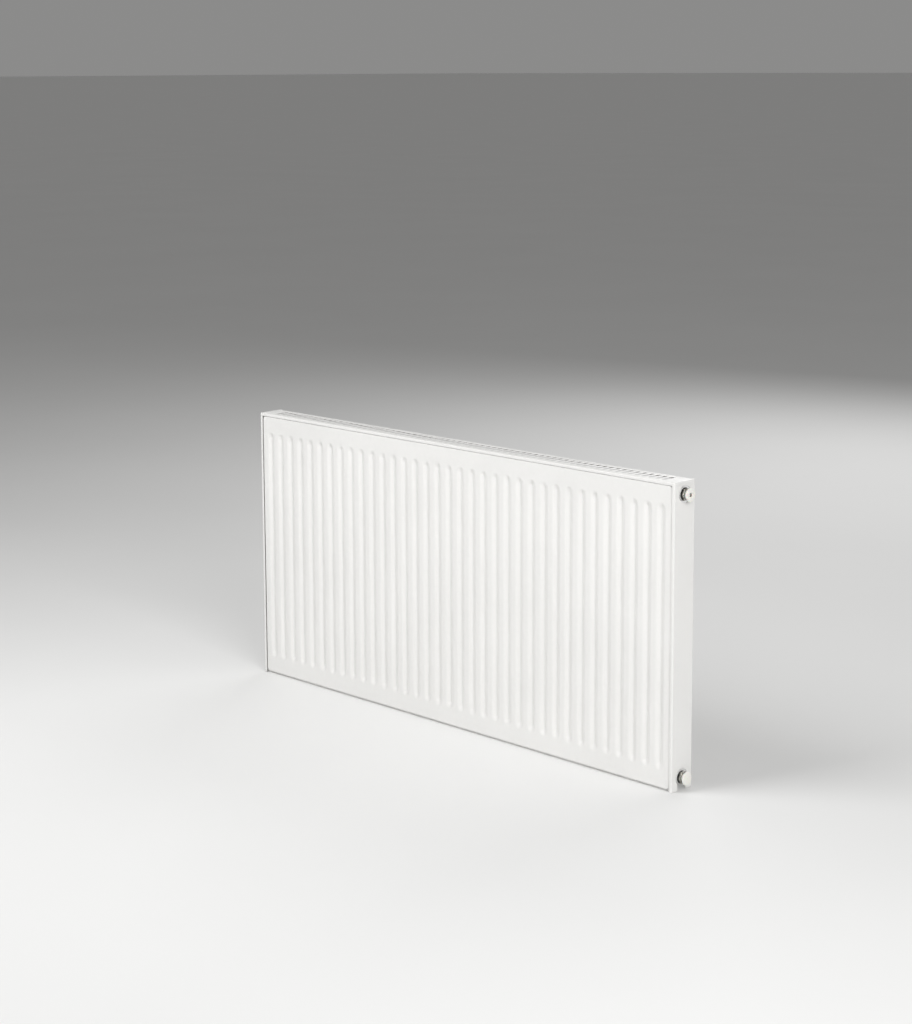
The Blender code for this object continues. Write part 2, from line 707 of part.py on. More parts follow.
def build_plug_body(name, level, spindle_bore):
    """A threaded plug with a hexagon and a spigot, bored for a spindle if it bleeds."""
    place = plug_place(level)
    inner = TAPPING_FACE - PLUG_THREAD_LENGTH
    shank_radius = TAPPING_THREAD_RADIUS - THREAD_GAP
    shank = rod_mesh(name, shank_radius, inner, HEX_INNER_FACE + SEAT_GAP)
    body = add_piece(name, shank, "nickel", place)
    corner = PLUG_HEX_ACROSS_FLATS / 2 / math.cos(math.pi / 6)
    hexagon = rod_mesh(name + "_hex", corner, HEX_INNER_FACE, HEX_OUTER_FACE, "X", 6)
    boolean(body, "UNION", add_cutter(hexagon.name, hexagon, place))
    spigot = rod_mesh(
        name + "_spigot", SPIGOT_RADIUS, HEX_OUTER_FACE - SEAT_GAP, SPIGOT_END, "X", ROUND_STEPS
    )
    boolean(body, "UNION", add_cutter(spigot.name, spigot, place))
    if spindle_bore:
        bore_radius = SPINDLE_RADIUS + RUNNING_CLEARANCE
        bore_floor = SPIGOT_END - SPINDLE_LENGTH
        bore_end = SPIGOT_END + SEAT_GAP
        bore = rod_mesh(name + "_bore", bore_radius, bore_floor, bore_end, "X", ROUND_STEPS)
        boolean(body, "DIFFERENCE", add_cutter(bore.name, bore, place))
        start = inner - SEAT_GAP
        end = bore_floor + SEAT_GAP
        passage = rod_mesh(
            name + "_passage", BLEED_PASSAGE_RADIUS, start, end, "X", SMALL_HOLE_STEPS
        )
        boolean(body, "DIFFERENCE", add_cutter(passage.name, passage, place))


def build_seal(name, level):
    """A rubber ring between a plug's hexagon and the face of its tapping."""
    bpy.ops.mesh.primitive_torus_add(
        major_radius=TAPPING_THREAD_RADIUS + SEAT_GAP + SEAL_WIRE_RADIUS,
        minor_radius=SEAL_WIRE_RADIUS,
        major_segments=TAPPING_STEPS,
        minor_segments=SEAL_WIRE_STEPS,
        rotation=(0.0, math.pi / 2, 0.0),
    )
    ring = bpy.context.object
    mesh = ring.data
    mesh.name = name
    mesh.transform(ring.matrix_basis)
    bpy.data.objects.remove(ring)
    shade_round(mesh, 180.0)
    centre = TAPPING_FACE + SEAT_GAP + SEAL_WIRE_RADIUS
    place = Vector(plug_place(level)) + Vector((centre, 0.0, 0.0))
    add_piece(name, mesh, "black_rubber", place)


def build_vent_collar():
    """The outlet collar that turns on the vent plug's spigot, with a wide flat head."""
    bore = SPIGOT_RADIUS + RUNNING_CLEARANCE
    floor = COLLAR_OUTER_FACE - COLLAR_END_WALL
    head_back = COLLAR_OUTER_FACE - HEAD_THICKNESS
    profile = [
        (COLLAR_OUTER_FACE, COLLAR_EYE_RADIUS),
        (COLLAR_OUTER_FACE, HEAD_RADIUS - HEAD_ROUNDING),
        (COLLAR_OUTER_FACE - HEAD_ROUNDING, HEAD_RADIUS),
        (head_back, HEAD_RADIUS),
        (head_back, COLLAR_RADIUS),
        (COLLAR_INNER_FACE, COLLAR_RADIUS),
        (COLLAR_INNER_FACE, bore),
        (floor, bore),
        (floor, COLLAR_EYE_RADIUS),
    ]
    collar = turned_piece("vent_collar", profile, "ivory_plastic", plug_place("top"))
    middle = (COLLAR_INNER_FACE + head_back) / 2
    outlet = rod_mesh(
        "collar_outlet", COLLAR_OUTLET_RADIUS, -COLLAR_RADIUS - SEAT_GAP, 0.0, "Z", SMALL_HOLE_STEPS
    )
    outlet.transform(Matrix.Translation((middle, 0.0, 0.0)))
    boolean(collar, "DIFFERENCE", add_cutter("collar_outlet", outlet, plug_place("top")))


def build_bleed_screw():
    """The spindle that opens the vent, with a square for a radiator key."""
    seat = SPIGOT_END - SPINDLE_LENGTH + SEAT_GAP
    spindle = rod_mesh("bleed_screw", SPINDLE_RADIUS, seat, SPIGOT_END, "X", ROUND_STEPS)
    screw = add_piece("bleed_screw", spindle, "nickel", plug_place("top"))
    tip = COLLAR_OUTER_FACE - SPINDLE_SQUARE_SETBACK
    root = SPIGOT_END - SEAT_GAP
    square = box_mesh("bleed_square", (tip - root, SPINDLE_SQUARE, SPINDLE_SQUARE))
    square.transform(Matrix.Translation(((tip + root) / 2, 0.0, 0.0)))
    boolean(screw, "UNION", add_cutter("bleed_square", square, plug_place("top")))


def build_blanking_cap():
    """The cap that covers the blanking plug's spigot, with the same wide head."""
    floor = SPIGOT_END + CAP_END_GAP
    outer = floor + CAP_END_WALL
    bore = SPIGOT_RADIUS + SEAT_GAP
    profile = [
        (outer, 0.0),
        (outer, HEAD_RADIUS - HEAD_ROUNDING),
        (outer - HEAD_ROUNDING, HEAD_RADIUS),
        (outer - HEAD_THICKNESS, HEAD_RADIUS),
        (outer - HEAD_THICKNESS, COLLAR_RADIUS),
        (COLLAR_INNER_FACE, COLLAR_RADIUS),
        (COLLAR_INNER_FACE, bore),
        (floor, bore),
        (floor, 0.0),
    ]
    turned_piece("blanking_cap", profile, "ivory_plastic", plug_place("bottom"))


def build_plugs():
    """The vent plug at the top right and the blanking plug at the bottom right."""
    build_plug_body("vent_plug", "top", spindle_bore=True)
    build_seal("vent_plug_seal", "top")
    build_vent_collar()
    build_bleed_screw()
    build_plug_body("blanking_plug", "bottom", spindle_bore=False)
    build_seal("blanking_plug_seal", "bottom")
    build_blanking_cap()


build_water_panel()
build_tappings()
build_convectors()
build_lugs()
build_grille()
build_grille_clips()
build_side_cover("left", -1.0)
build_side_cover("right", 1.0)
build_cover_clips()
build_plugs()
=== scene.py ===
# %% [markdown]
# # A steel panel radiator
#
# The radiator is a water panel of two pressed sheets, with a folded convector
# sheet behind it, a slotted grille on top and a cover on each side. Nearly all
# of it is white enamelled sheet, so the work lies in the bends, the pressed
# grooves and the way soft light runs over them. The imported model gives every
# place and size, and each piece below is drawn finer inside its box.

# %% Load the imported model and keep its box
import math

import bmesh
import bpy
from mathutils import Matrix, Vector


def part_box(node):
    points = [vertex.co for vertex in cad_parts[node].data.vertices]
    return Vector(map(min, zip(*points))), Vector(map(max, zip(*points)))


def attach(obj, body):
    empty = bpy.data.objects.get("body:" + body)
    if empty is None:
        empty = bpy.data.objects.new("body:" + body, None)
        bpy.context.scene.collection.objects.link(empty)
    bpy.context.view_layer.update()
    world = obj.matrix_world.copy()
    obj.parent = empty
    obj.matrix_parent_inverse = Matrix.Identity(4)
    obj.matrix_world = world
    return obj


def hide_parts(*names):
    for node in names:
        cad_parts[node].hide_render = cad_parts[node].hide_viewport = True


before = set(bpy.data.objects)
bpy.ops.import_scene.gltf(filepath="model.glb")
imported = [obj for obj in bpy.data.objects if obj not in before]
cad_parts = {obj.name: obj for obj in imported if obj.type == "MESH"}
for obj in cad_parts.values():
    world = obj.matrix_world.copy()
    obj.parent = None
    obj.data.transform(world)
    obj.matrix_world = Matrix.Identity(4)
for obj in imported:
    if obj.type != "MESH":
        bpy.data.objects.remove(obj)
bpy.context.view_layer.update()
MM = 0.001

# %% [markdown]
# The covers stand at the two ends, so the middle between them is the middle of
# the radiator. The plugs stand out on one side only and would shift it. The
# grooves are counted from that middle.

# %% Measure the places that the pieces share
LEFT_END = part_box("side_cover_left")[0].x
RIGHT_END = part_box("side_cover_right")[1].x
MIDDLE_X = (LEFT_END + RIGHT_END) / 2
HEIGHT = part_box("side_cover_right")[1].z
print("covers from", round(LEFT_END, 4), "to", round(RIGHT_END, 4), "height", round(HEIGHT, 4))

# %% [markdown]
# ## The camera
#
# A long, thin thing shows best from one corner, and from far enough away that
# its far end doesn't shrink much. A lens of 76 mm at 4.4 m does that.
# The view is 45 degrees round to the right and a little above. The frame is
# shifted down rather than tilted, which keeps the upright edges nearly upright.

# %% Place the camera
CAMERA_PLACE = Vector((3.1030, -3.0950, 1.3670))
CAMERA_TARGET = Vector((0.0167, -0.0300, 0.6940))
CAMERA_ROLL = math.radians(-0.24)
FOCAL_LENGTH = 75.94
SENSOR_WIDTH = 36.0
FRAME_SHIFT = -0.109
FAR_LIMIT = 1000.0

lens = bpy.data.cameras.new("camera")
lens.lens = FOCAL_LENGTH
lens.sensor_width = SENSOR_WIDTH
lens.shift_y = FRAME_SHIFT
lens.clip_end = FAR_LIMIT
camera = bpy.data.objects.new("camera", lens)
bpy.context.scene.collection.objects.link(camera)
look = (CAMERA_TARGET - CAMERA_PLACE).to_track_quat("-Z", "Y").to_matrix().to_4x4()
camera.matrix_world = Matrix.Translation(CAMERA_PLACE) @ look @ Matrix.Rotation(CAMERA_ROLL, 4, "Z")
bpy.context.scene.camera = camera
print("camera at", [round(value, 2) for value in CAMERA_PLACE])

# %% [markdown]
# ## Studio
#
# The floor is one large pale plane under the lower edge. A strong soft window
# far to the right rakes across the front, so that each ridge is bright and the
# groove beside it is dim, more so at the near end. A smaller one above and to
# the left opens the upper left. The sky fills in the rest, and a window behind
# serves the wall side. White on white shows its shape only through such steps.

# %% Lay the floor
FLOOR_HALF = 300.0
FLOOR_DROP = 0.4 * MM

bm = bmesh.new()
bmesh.ops.create_grid(bm, x_segments=1, y_segments=1, size=FLOOR_HALF)
bmesh.ops.translate(bm, vec=(0.0, 0.0, -FLOOR_DROP), verts=bm.verts)
floor_mesh = bpy.data.meshes.new("studio_floor")
bm.to_mesh(floor_mesh)
bm.free()
floor = bpy.data.objects.new("studio_floor", floor_mesh)
bpy.context.scene.collection.objects.link(floor)
print("floor", 2 * FLOOR_HALF, "m across")

# %% Hang the soft lights
LIGHTS = {
    "window_right": {"place": (3.4, -1.6, 2.0), "size": 2.0, "power": 92.0},
    "window_top_left": {"place": (-0.7, -1.7, 2.4), "size": 1.6, "power": 48.0},
    "window_back": {"place": (-1.0, 3.6, 2.6), "size": 3.0, "power": 60.0},
}
LIGHT_TARGET = Vector((MIDDLE_X, 0.0, HEIGHT / 2))


def hang_light(name, place, size, power):
    """A square soft light that faces the middle of the radiator."""
    data = bpy.data.lights.new(name, "AREA")
    data.shape = "SQUARE"
    data.size = size
    data.energy = power
    light = bpy.data.objects.new(name, data)
    light.location = place
    light.rotation_euler = (LIGHT_TARGET - Vector(place)).to_track_quat("-Z", "Y").to_euler()
    bpy.context.scene.collection.objects.link(light)


for name, settings in LIGHTS.items():
    hang_light(name, **settings)
print("lights:", ", ".join(LIGHTS))

# %% Set the sky and plain tones
SKY_STRENGTH = 0.26
SKY_COLOUR = (1.0, 0.995, 0.985, 1.0)

sky = bpy.data.worlds.new("studio_sky")
sky.use_nodes = True
sky.node_tree.nodes["Background"].inputs["Color"].default_value = SKY_COLOUR
sky.node_tree.nodes["Background"].inputs["Strength"].default_value = SKY_STRENGTH
bpy.context.scene.world = sky
bpy.context.scene.view_settings.view_transform = "Standard"
print("sky strength", SKY_STRENGTH)

# %% [markdown]
# ## Shader sums in Python
#
# A finish is a few textures that are scaled, added and mixed. Written as nodes
# and links, such a sum is long and hard to read. This small class wraps one
# socket, so that plus, minus and times between two of them add the Math nodes.
# Its node method adds any other node: the type, the settings, then the inputs.


# %% A socket that can be summed
class Signal:
    """One output socket of a material, on which Python's operators work."""

    def __init__(self, tree, socket=None):
        self.tree = tree
        self.socket = socket

    def node(self, kind, settings, inputs, output=0):
        """Add a node with its settings and inputs, and return one of its outputs."""
        made = self.tree.nodes.new(kind)
        for name, value in settings.items():
            setattr(made, name, value)
        for name, value in inputs.items():
            if isinstance(value, Signal):
                self.tree.links.new(value.socket, made.inputs[name])
            else:
                made.inputs[name].default_value = value
        return Signal(self.tree, made.outputs[output])

    def maths(self, operation, *values):
        return self.node("ShaderNodeMath", {"operation": operation}, dict(enumerate(values)))

    def __add__(self, other):
        return self.maths("ADD", self, other)

    __radd__ = __add__

    def __sub__(self, other):
        return self.maths("SUBTRACT", self, other)

    def __rsub__(self, other):
        return self.maths("SUBTRACT", other, self)

    def __mul__(self, other):
        return self.maths("MULTIPLY", self, other)

    __rmul__ = __mul__

    def __truediv__(self, other):
        return self.maths("DIVIDE", self, other)

    def __rtruediv__(self, other):
        return self.maths("DIVIDE", other, self)


print("operators: + - * /")


# %% [markdown]
# The helpers below are the words in which each finish is told: where a point
# lies, how grainy it is, how a value is stretched from one range to another,
# and how two colours are mixed. Lengths go in as millimetres of real surface,
# so that a grain of 2 mm is 2 mm on every piece.

# %% Textures and mixes
COLOUR_A, COLOUR_B, MIXED_COLOUR = 6, 7, 2


def surface_point(start):
    """The point on the piece, in metres at rest."""
    return start.node("ShaderNodeTexCoord", {}, {}, "Object")


def grain(point, size_mm, detail=2.0, stretch=(1.0, 1.0, 1.0)):
    """Noise from 0 to 1 whose lumps are about this many millimetres across."""
    scaled = point.node(
        "ShaderNodeVectorMath",
        {"operation": "MULTIPLY"},
        {0: point, 1: tuple(1.0 / (size_mm * MM * share) for share in stretch)},
    )
    return point.node("ShaderNodeTexNoise", {}, {"Vector": scaled, "Scale": 1.0, "Detail": detail})


def stretched(value, low, high, to_low=0.0, to_high=1.0):
    """The value's range from low to high laid over another range, and held at its ends."""
    inputs = {"Value": value, "From Min": low, "From Max": high, "To Min": to_low, "To Max": to_high}
    return value.node("ShaderNodeMapRange", {"interpolation_type": "SMOOTHSTEP"}, inputs)


def colour_mix(share, first, second):
    """The first colour where share is 0 and the second where it is 1."""
    inputs = {0: share, COLOUR_A: first, COLOUR_B: second}
    return share.node("ShaderNodeMix", {"data_type": "RGBA"}, inputs, MIXED_COLOUR)


def worn_edge(start):
    """1 on sharp outer edges, 0 on flats and in hollows."""
    bulge = start.node("ShaderNodeNewGeometry", {}, {}, "Pointiness")
    return stretched(bulge, 0.53, 0.60)


def corner_shade(start):
    """1 in inner corners, where the finishes paint shade."""
    bulge = start.node("ShaderNodeNewGeometry", {}, {}, "Pointiness")
    return stretched(bulge, 0.49, 0.44)


def relief(height, depth_mm):
    """A normal that makes a height from 0 to 1 stand this many millimetres proud."""
    inputs = {"Height": height, "Distance": depth_mm * MM, "Strength": 1.0}
    return height.node("ShaderNodeBump", {}, inputs)


print("texture words ready")


# %% [markdown]
# Every finish starts in the same way: a new material, whose shader keeps its
# plain numbers on its own sockets. Only what varies over the surface is linked.

# %% Start a finish and connect what varies
def new_finish(name, **constants):
    """A material and the empty signal that its sums start from."""
    material = bpy.data.materials.new(name)
    material.use_nodes = True
    shader = material.node_tree.nodes["Principled BSDF"]
    for socket, value in constants.items():
        shader.inputs[socket.replace("_", " ")].default_value = value
    return material, Signal(material.node_tree)


def connect(material, **signals):
    """Link the signals that vary to the shader's sockets of the same names."""
    tree = material.node_tree
    for socket, signal in signals.items():
        tree.links.new(signal.socket, tree.nodes["Principled BSDF"].inputs[socket.replace("_", " ")])


print("finish helpers ready")

# %% [markdown]
# ## Finishes
#
# The white is a baked powder coat. It levels to a satin skin with a very low
# orange peel, 2 to 3 mm from crest to crest, and its tone drifts a little over
# a sheet. It is thinner on sharp edges, where the grey steel starts to show
# through, and dust settles on what faces up. Inner corners are darkened too,
# as painted shade.


# %% White enamel
def enamel(name, white, peel_mm, dust):
    """Powder coat with orange peel, a drifting tone, thin edges, some dust and painted shade in inner
    corners.
    """
    material, start = new_finish(name, Specular_IOR_Level=0.5, Coat_Weight=0.0)
    point = surface_point(start)
    drift = grain(point, 180.0, 3.0)
    fine = grain(point, 9.0)
    toned = colour_mix(
        stretched(drift * 0.7 + fine * 0.3, 0.35, 0.65),
        tuple(0.985 * part for part in white) + (1.0,),
        tuple(1.012 * part for part in white) + (1.0,),
    )
    edged = colour_mix(worn_edge(start) * stretched(fine, 0.3, 0.7) * 0.30, toned, (0.62, 0.62, 0.61, 1.0))
    upward = start.node(
        "ShaderNodeSeparateXYZ", {}, {0: start.node("ShaderNodeNewGeometry", {}, {}, "Normal")}, "Z"
    )
    # Painted shade: inner corners are darkened towards the dust colour, while upward faces get real dust.
    dust_and_corner_shade = stretched(upward, 0.6, 1.0) * 0.4 + corner_shade(start) * 0.1
    dusty = dust_and_corner_shade * stretched(grain(point, 14.0, 4.0), 0.35, 0.75) * dust
    connect(
        material,
        Base_Color=colour_mix(dusty, edged, (0.46, 0.45, 0.43, 1.0)),
        Roughness=0.30 + drift * 0.08 + dusty * 0.5,
        Normal=relief(grain(point, 2.6, 1.0), peel_mm),
    )
    return material


ENAMEL = enamel("white_enamel_finish", (0.80, 0.795, 0.78), 0.012, 0.25)
REAR_ENAMEL = enamel("rear_enamel_finish", (0.77, 0.765, 0.75), 0.020, 0.50)
print("enamels:", ENAMEL.name, REAR_ENAMEL.name)


# %% [markdown]
# The clips are cut from rolled spring strip, which has fine lines along the
# rolling direction. The same noise stretched 30 times along one axis draws
# them, and both the roughness and the relief follow it.

# %% Spring steel
def strip_steel(name, stretch):
    """Rolled strip with fine lines along the long axis of the stretch."""
    material, start = new_finish(name, Metallic=1.0)
    point = surface_point(start)
    lines = grain(point, 0.25, 3.0, stretch)
    stain = grain(point, 6.0, 4.0)
    edge = worn_edge(start)
    base = colour_mix(lines, (0.42, 0.43, 0.45, 1.0), (0.60, 0.61, 0.63, 1.0))
    connect(
        material,
        Base_Color=colour_mix(edge * 0.5, base, (0.72, 0.73, 0.74, 1.0)),
        Roughness=0.24 + lines * 0.16 + stretched(stain, 0.5, 0.8) * 0.15,
        Normal=relief(lines, 0.006),
    )
    return material


STRIP_STEEL = strip_steel("spring_steel_finish", (30.0, 1.0, 30.0))
print("metal:", STRIP_STEEL.name)

# %% [markdown]
# The plugs are turned from brass and nickel plated. A lathe leaves rings about
# the axis, so the finish needs the distance from the plug's own axis, which is
# the length of the two coordinates across it. A sine of that distance draws the
# rings, and the nickel is a little yellower where it has dulled.

# %% Turned nickel
RING_PITCH = 0.22


def turned_nickel(name, axis_z):
    """Nickel plate over turned brass, with lathe rings about an axis along X, darkened as a painted dark
    reflection.
    """
    material, start = new_finish(name, Metallic=1.0)
    point = surface_point(start)
    across = start.node("ShaderNodeVectorMath", {"operation": "SUBTRACT"}, {0: point, 1: (0.0, 0.0, axis_z)})
    flat = start.node("ShaderNodeVectorMath", {"operation": "MULTIPLY"}, {0: across, 1: (0.0, 1.0, 1.0)})
    radius = start.node("ShaderNodeVectorMath", {"operation": "LENGTH"}, {0: flat}, "Value")
    rings = start.maths("SINE", radius * (2.0 * math.pi / (RING_PITCH * MM))) * 0.5 + 0.5
    dull = stretched(grain(point, 5.0, 4.0), 0.45, 0.75)
    # Painted reflection: both nickel colours are darker than clean nickel, so the plugs look as if they
    # mirror dark surroundings. The yellower dulled patches are real tarnish.
    base = colour_mix(dull, (0.52, 0.51, 0.48, 1.0), (0.42, 0.40, 0.35, 1.0))
    connect(
        material,
        Base_Color=colour_mix(worn_edge(start) * 0.5, base, (0.66, 0.61, 0.50, 1.0)),
        Roughness=0.20 + dull * 0.14 + grain(point, 0.8) * 0.06,
        Normal=relief(rings, 0.004),
    )
    return material


VENT_Z = sum(corner.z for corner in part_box("bleed_screw")) / 2
BLANK_Z = sum(corner.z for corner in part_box("blanking_cap")) / 2
VENT_NICKEL = turned_nickel("vent_nickel_finish", VENT_Z)
BLANK_NICKEL = turned_nickel("blanking_nickel_finish", BLANK_Z)
print("plug axes at z =", round(VENT_Z, 4), round(BLANK_Z, 4))


# %% [markdown]
# The vent collar and the blanking cap are moulded in an ivory plastic. Such
# plastic has a fine spark-eroded grain, lets a little light in and shows
# slight flow marks. The seals are black rubber with a bloom of dust.

# %% Ivory plastic and black rubber
def moulded_ivory(name):
    """Semi-gloss moulded plastic with a fine grain, faint flow marks and painted shade in inner corners."""
    material, start = new_finish(name, Subsurface_Weight=0.15, Subsurface_Scale=1.5 * MM)
    point = surface_point(start)
    flow = grain(point, 7.0, 3.0, (1.0, 1.0, 3.0))
    base = colour_mix(flow, (0.80, 0.785, 0.735, 1.0), (0.86, 0.85, 0.81, 1.0))
    connect(
        material,
        # Painted shade: the plastic is darkened in its inner corners.
        Base_Color=colour_mix(corner_shade(start) * 0.4, base, (0.50, 0.48, 0.43, 1.0)),
        Roughness=0.34 + grain(point, 1.5) * 0.10,
        Normal=relief(grain(point, 0.35, 1.0), 0.006),
    )
    return material


def seal_rubber(name):
    """Black rubber, dusty in patches."""
    material, start = new_finish(name, Specular_IOR_Level=0.3)
    point = surface_point(start)
    bloom = stretched(grain(point, 3.0, 4.0), 0.45, 0.75)
    connect(
        material,
        Base_Color=colour_mix(bloom * 0.5, (0.018, 0.018, 0.019, 1.0), (0.075, 0.073, 0.070, 1.0)),
        Roughness=0.62 + bloom * 0.2,
        Normal=relief(grain(point, 0.5), 0.02),
    )
    return material


IVORY = moulded_ivory("ivory_plastic_finish")
RUBBER = seal_rubber("black_rubber_finish")
print("plastic and rubber:", IVORY.name, RUBBER.name)

# %% [markdown]
# The floor is matt paint. It has its own quiet tone drift, so that the soft
# shadow under the radiator doesn't lie on dead flat colour.

# %% Floor paint
floor_paint, start = new_finish("studio_floor_paint", Specular_IOR_Level=0.2)
floor_tone = grain(surface_point(start), 900.0, 3.0)
connect(
    floor_paint,
    Base_Color=colour_mix(floor_tone, (0.76, 0.76, 0.755, 1.0), (0.80, 0.80, 0.795, 1.0)),
    Roughness=0.75 + floor_tone * 0.1,
)
floor_mesh.materials.append(floor_paint)
print("floor painted")


# %% [markdown]
# ## Helpers for the pieces
#
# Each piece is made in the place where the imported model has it, so it needs no
# moving. It takes a finish, rides on the body that it belongs to and stands for
# its node. Shading is smooth except where a real edge turns through more than
# the given angle.

# %% Turn a bmesh into a finished piece
SAME_POINT = 0.002 * MM


def new_object(name, bm, finish=None):
    """Link a bmesh as an object, in its finish if it has one."""
    mesh = bpy.data.meshes.new(name)
    bm.to_mesh(mesh)
    bm.free()
    if finish:
        mesh.materials.append(finish)
    linked = bpy.data.objects.new(name, mesh)
    bpy.context.scene.collection.objects.link(linked)
    return linked


def make_piece(name, bm, finish, smooth_angle=40.0):
    """Close up a bmesh and link it, shaded smooth up to an angle."""
    bmesh.ops.remove_doubles(bm, verts=bm.verts, dist=SAME_POINT)
    bmesh.ops.recalc_face_normals(bm, faces=bm.faces)
    piece = new_object(name, bm, finish)
    piece.data.shade_smooth()
    piece.data.set_sharp_from_angle(angle=math.radians(smooth_angle))
    return piece


def stand_for(piece, node, body):
    """Let a piece ride on its body in the place of its node."""
    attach(piece, body)
    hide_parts(node)
    print(piece.name, "stands for", node, "with", len(piece.data.polygons), "faces")


def settle(piece, smooth_angle=40.0):
    """Make a piece's modifiers part of its mesh."""
    bpy.context.view_layer.update()
    ready = piece.evaluated_get(bpy.context.evaluated_depsgraph_get())
    mesh = bpy.data.meshes.new_from_object(ready)
    piece.modifiers.clear()
    piece.data = mesh
    mesh.shade_smooth()
    mesh.set_sharp_from_angle(angle=math.radians(smooth_angle))


# %% [markdown]
# Sheet metal is modelled as one open surface, which Solidify makes as thick as
# the sheet. A small Bevel then takes the sharpness off the cut edges, as the
# enamel does on the real ones.

# %% Thicken and soften
def thicken(piece, sheet):
    """Give an open surface its sheet thickness, inwards from its face."""
    modifier = piece.modifiers.new("sheet", "SOLIDIFY")
    modifier.thickness = sheet
    modifier.offset = -1.0
    modifier.use_even_offset = True


def soften(piece, width, segments=2, angle=35.0):
    """Round the edges of a piece that are sharper than an angle."""
    modifier = piece.modifiers.new("softened", "BEVEL")
    modifier.width = width
    modifier.segments = segments
    modifier.limit_method = "ANGLE"
    modifier.angle_limit = math.radians(angle)


def cut(piece, cutters):
    """Cut tools from a piece, then remove them."""
    for tool in cutters:
        modifier = piece.modifiers.new("cut_" + tool.name, "BOOLEAN")
        modifier.operation = "DIFFERENCE"
        modifier.object = tool
    settle(piece)
    for tool in cutters:
        bpy.data.objects.remove(tool)


# %% [markdown]
# ## Water panel
#
# The front sheet is pressed with 35 upright grooves, 33.3 mm apart. Between two
# grooves the sheet rises to a broad crowned ridge, in which the water runs. The
# grooves end in flat headers at the top and the bottom. Round the outside the
# pressing rolls back to a narrow flat seam, where the two sheets are welded.
#
# A grid with more lines where the sheet bends is enough, as long as a formula
# gives the depth of each point. The formula multiplies three parts: the roll at
# the outline, the wave across the grooves and the fade at the groove ends.

# %% Sizes of the pressing
GROOVE_PITCH = 100.0 / 3 * MM
GROOVE_SHARPNESS = 3.0
GROOVE_END_FADE = 16.0 * MM
HEADER_HEIGHT = 34.0 * MM
ROLL_WIDTH = 2.2 * MM
PANEL_CORNER = 8.0 * MM
SEAM_WIDTH = 3.5 * MM
SIDE_SEAM_WIDTH = 4.3 * MM
PANEL_SHEET = 1.25 * MM
FRONT_RISE = 5.0 * MM
REAR_RISE = 5.5 * MM
WELD_HALF_WIDTH = 4.0 * MM
WELD_FLANK = 5.0 * MM

panel_low, panel_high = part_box("front_sheet")
FRONT_FACE = panel_low.y
SEAM_FRONT = FRONT_FACE + FRONT_RISE
PRESSING_HALF = (panel_high.x - panel_low.x) / 2 - SIDE_SEAM_WIDTH
PRESSING_BOTTOM = panel_low.z + SEAM_WIDTH
PRESSING_TOP = panel_high.z - SEAM_WIDTH
GROOVES_FROM = PRESSING_BOTTOM + HEADER_HEIGHT
GROOVES_TO = PRESSING_TOP - HEADER_HEIGHT
RIDGES = round(2 * PRESSING_HALF / GROOVE_PITCH)
GROOVES = [(index - RIDGES / 2) * GROOVE_PITCH for index in range(1, RIDGES)]
print(len(GROOVES), "grooves between z =", round(GROOVES_FROM, 3), "and", round(GROOVES_TO, 3))


# %% Height of the pressing at a point
def smooth_step(part):
    """0 to 1 with no kink at either end."""
    part = min(max(part, 0.0), 1.0)
    return part * part * (3.0 - 2.0 * part)


def roll_at(across, z):
    """0 on the seam and 1 on the face, round as a quarter circle, with round corners."""
    half_height = (PRESSING_TOP - PRESSING_BOTTOM) / 2
    beside = abs(across) - (PRESSING_HALF - PANEL_CORNER)
    above = abs(z - PRESSING_BOTTOM - half_height) - (half_height - PANEL_CORNER)
    outside = math.hypot(max(beside, 0.0), max(above, 0.0))
    inset = PANEL_CORNER - outside - min(max(beside, above), 0.0)
    part = min(max(inset / ROLL_WIDTH, 0.0), 1.0)
    return math.sqrt(1.0 - (1.0 - part) ** 2)


def groove_run(z):
    """0 in the headers and 1 between them."""
    return smooth_step(min(z - GROOVES_FROM, GROOVES_TO - z) / GROOVE_END_FADE)


def from_groove(across):
    """Distance to the nearest groove, or to where the next one would be."""
    nearest = min(abs(across - groove) for groove in GROOVES)
    return min(nearest, GROOVE_PITCH / 2)


def front_height(across, z):
    """How far the front sheet stands out from its seam."""
    wave = 0.5 + 0.5 * math.cos(2.0 * math.pi * from_groove(across) / GROOVE_PITCH)
    return FRONT_RISE * roll_at(across, z) * (1.0 - wave**GROOVE_SHARPNESS * groove_run(z))


def rear_height(across, z):
    """How far the rear sheet stands out from its seam: flat channels between welds."""
    channel = smooth_step((from_groove(across) - WELD_HALF_WIDTH) / WELD_FLANK)
    return REAR_RISE * roll_at(across, z) * (1.0 - (1.0 - channel) * groove_run(z))


print("ridge height", round(front_height(GROOVE_PITCH / 2, HEIGHT / 2) / MM, 2), "mm")

# %% Grid lines, closer together where the sheet bends
LINES_PER_PITCH = 18
ROLL_LINES = 9


def spread(low, high, count):
    """Evenly spaced values from low to high."""
    return [low + (high - low) * step / count for step in range(count + 1)]


def outline_lines(low, high):
    """Lines over the seam, the roll and the corner at both ends of a span."""
    roll = [ROLL_WIDTH * (1.0 - math.cos(math.pi / 2 * part)) for part in spread(0.0, 1.0, ROLL_LINES)]
    corner = spread(ROLL_WIDTH, PANEL_CORNER, 3)[1:]
    steps = roll + corner
    return [low + step for step in steps] + [high - step for step in reversed(steps)]


def panel_columns():
    """Lines across the panel, evenly spaced between its corners."""
    inner = PRESSING_HALF - PANEL_CORNER
    count = round(2 * inner / GROOVE_PITCH * LINES_PER_PITCH)
    edge = PRESSING_HALF + SIDE_SEAM_WIDTH
    lines = {-edge, edge, *outline_lines(-PRESSING_HALF, PRESSING_HALF)}
    lines.update(spread(-inner, inner, count)[1:-1])
    return sorted(lines)


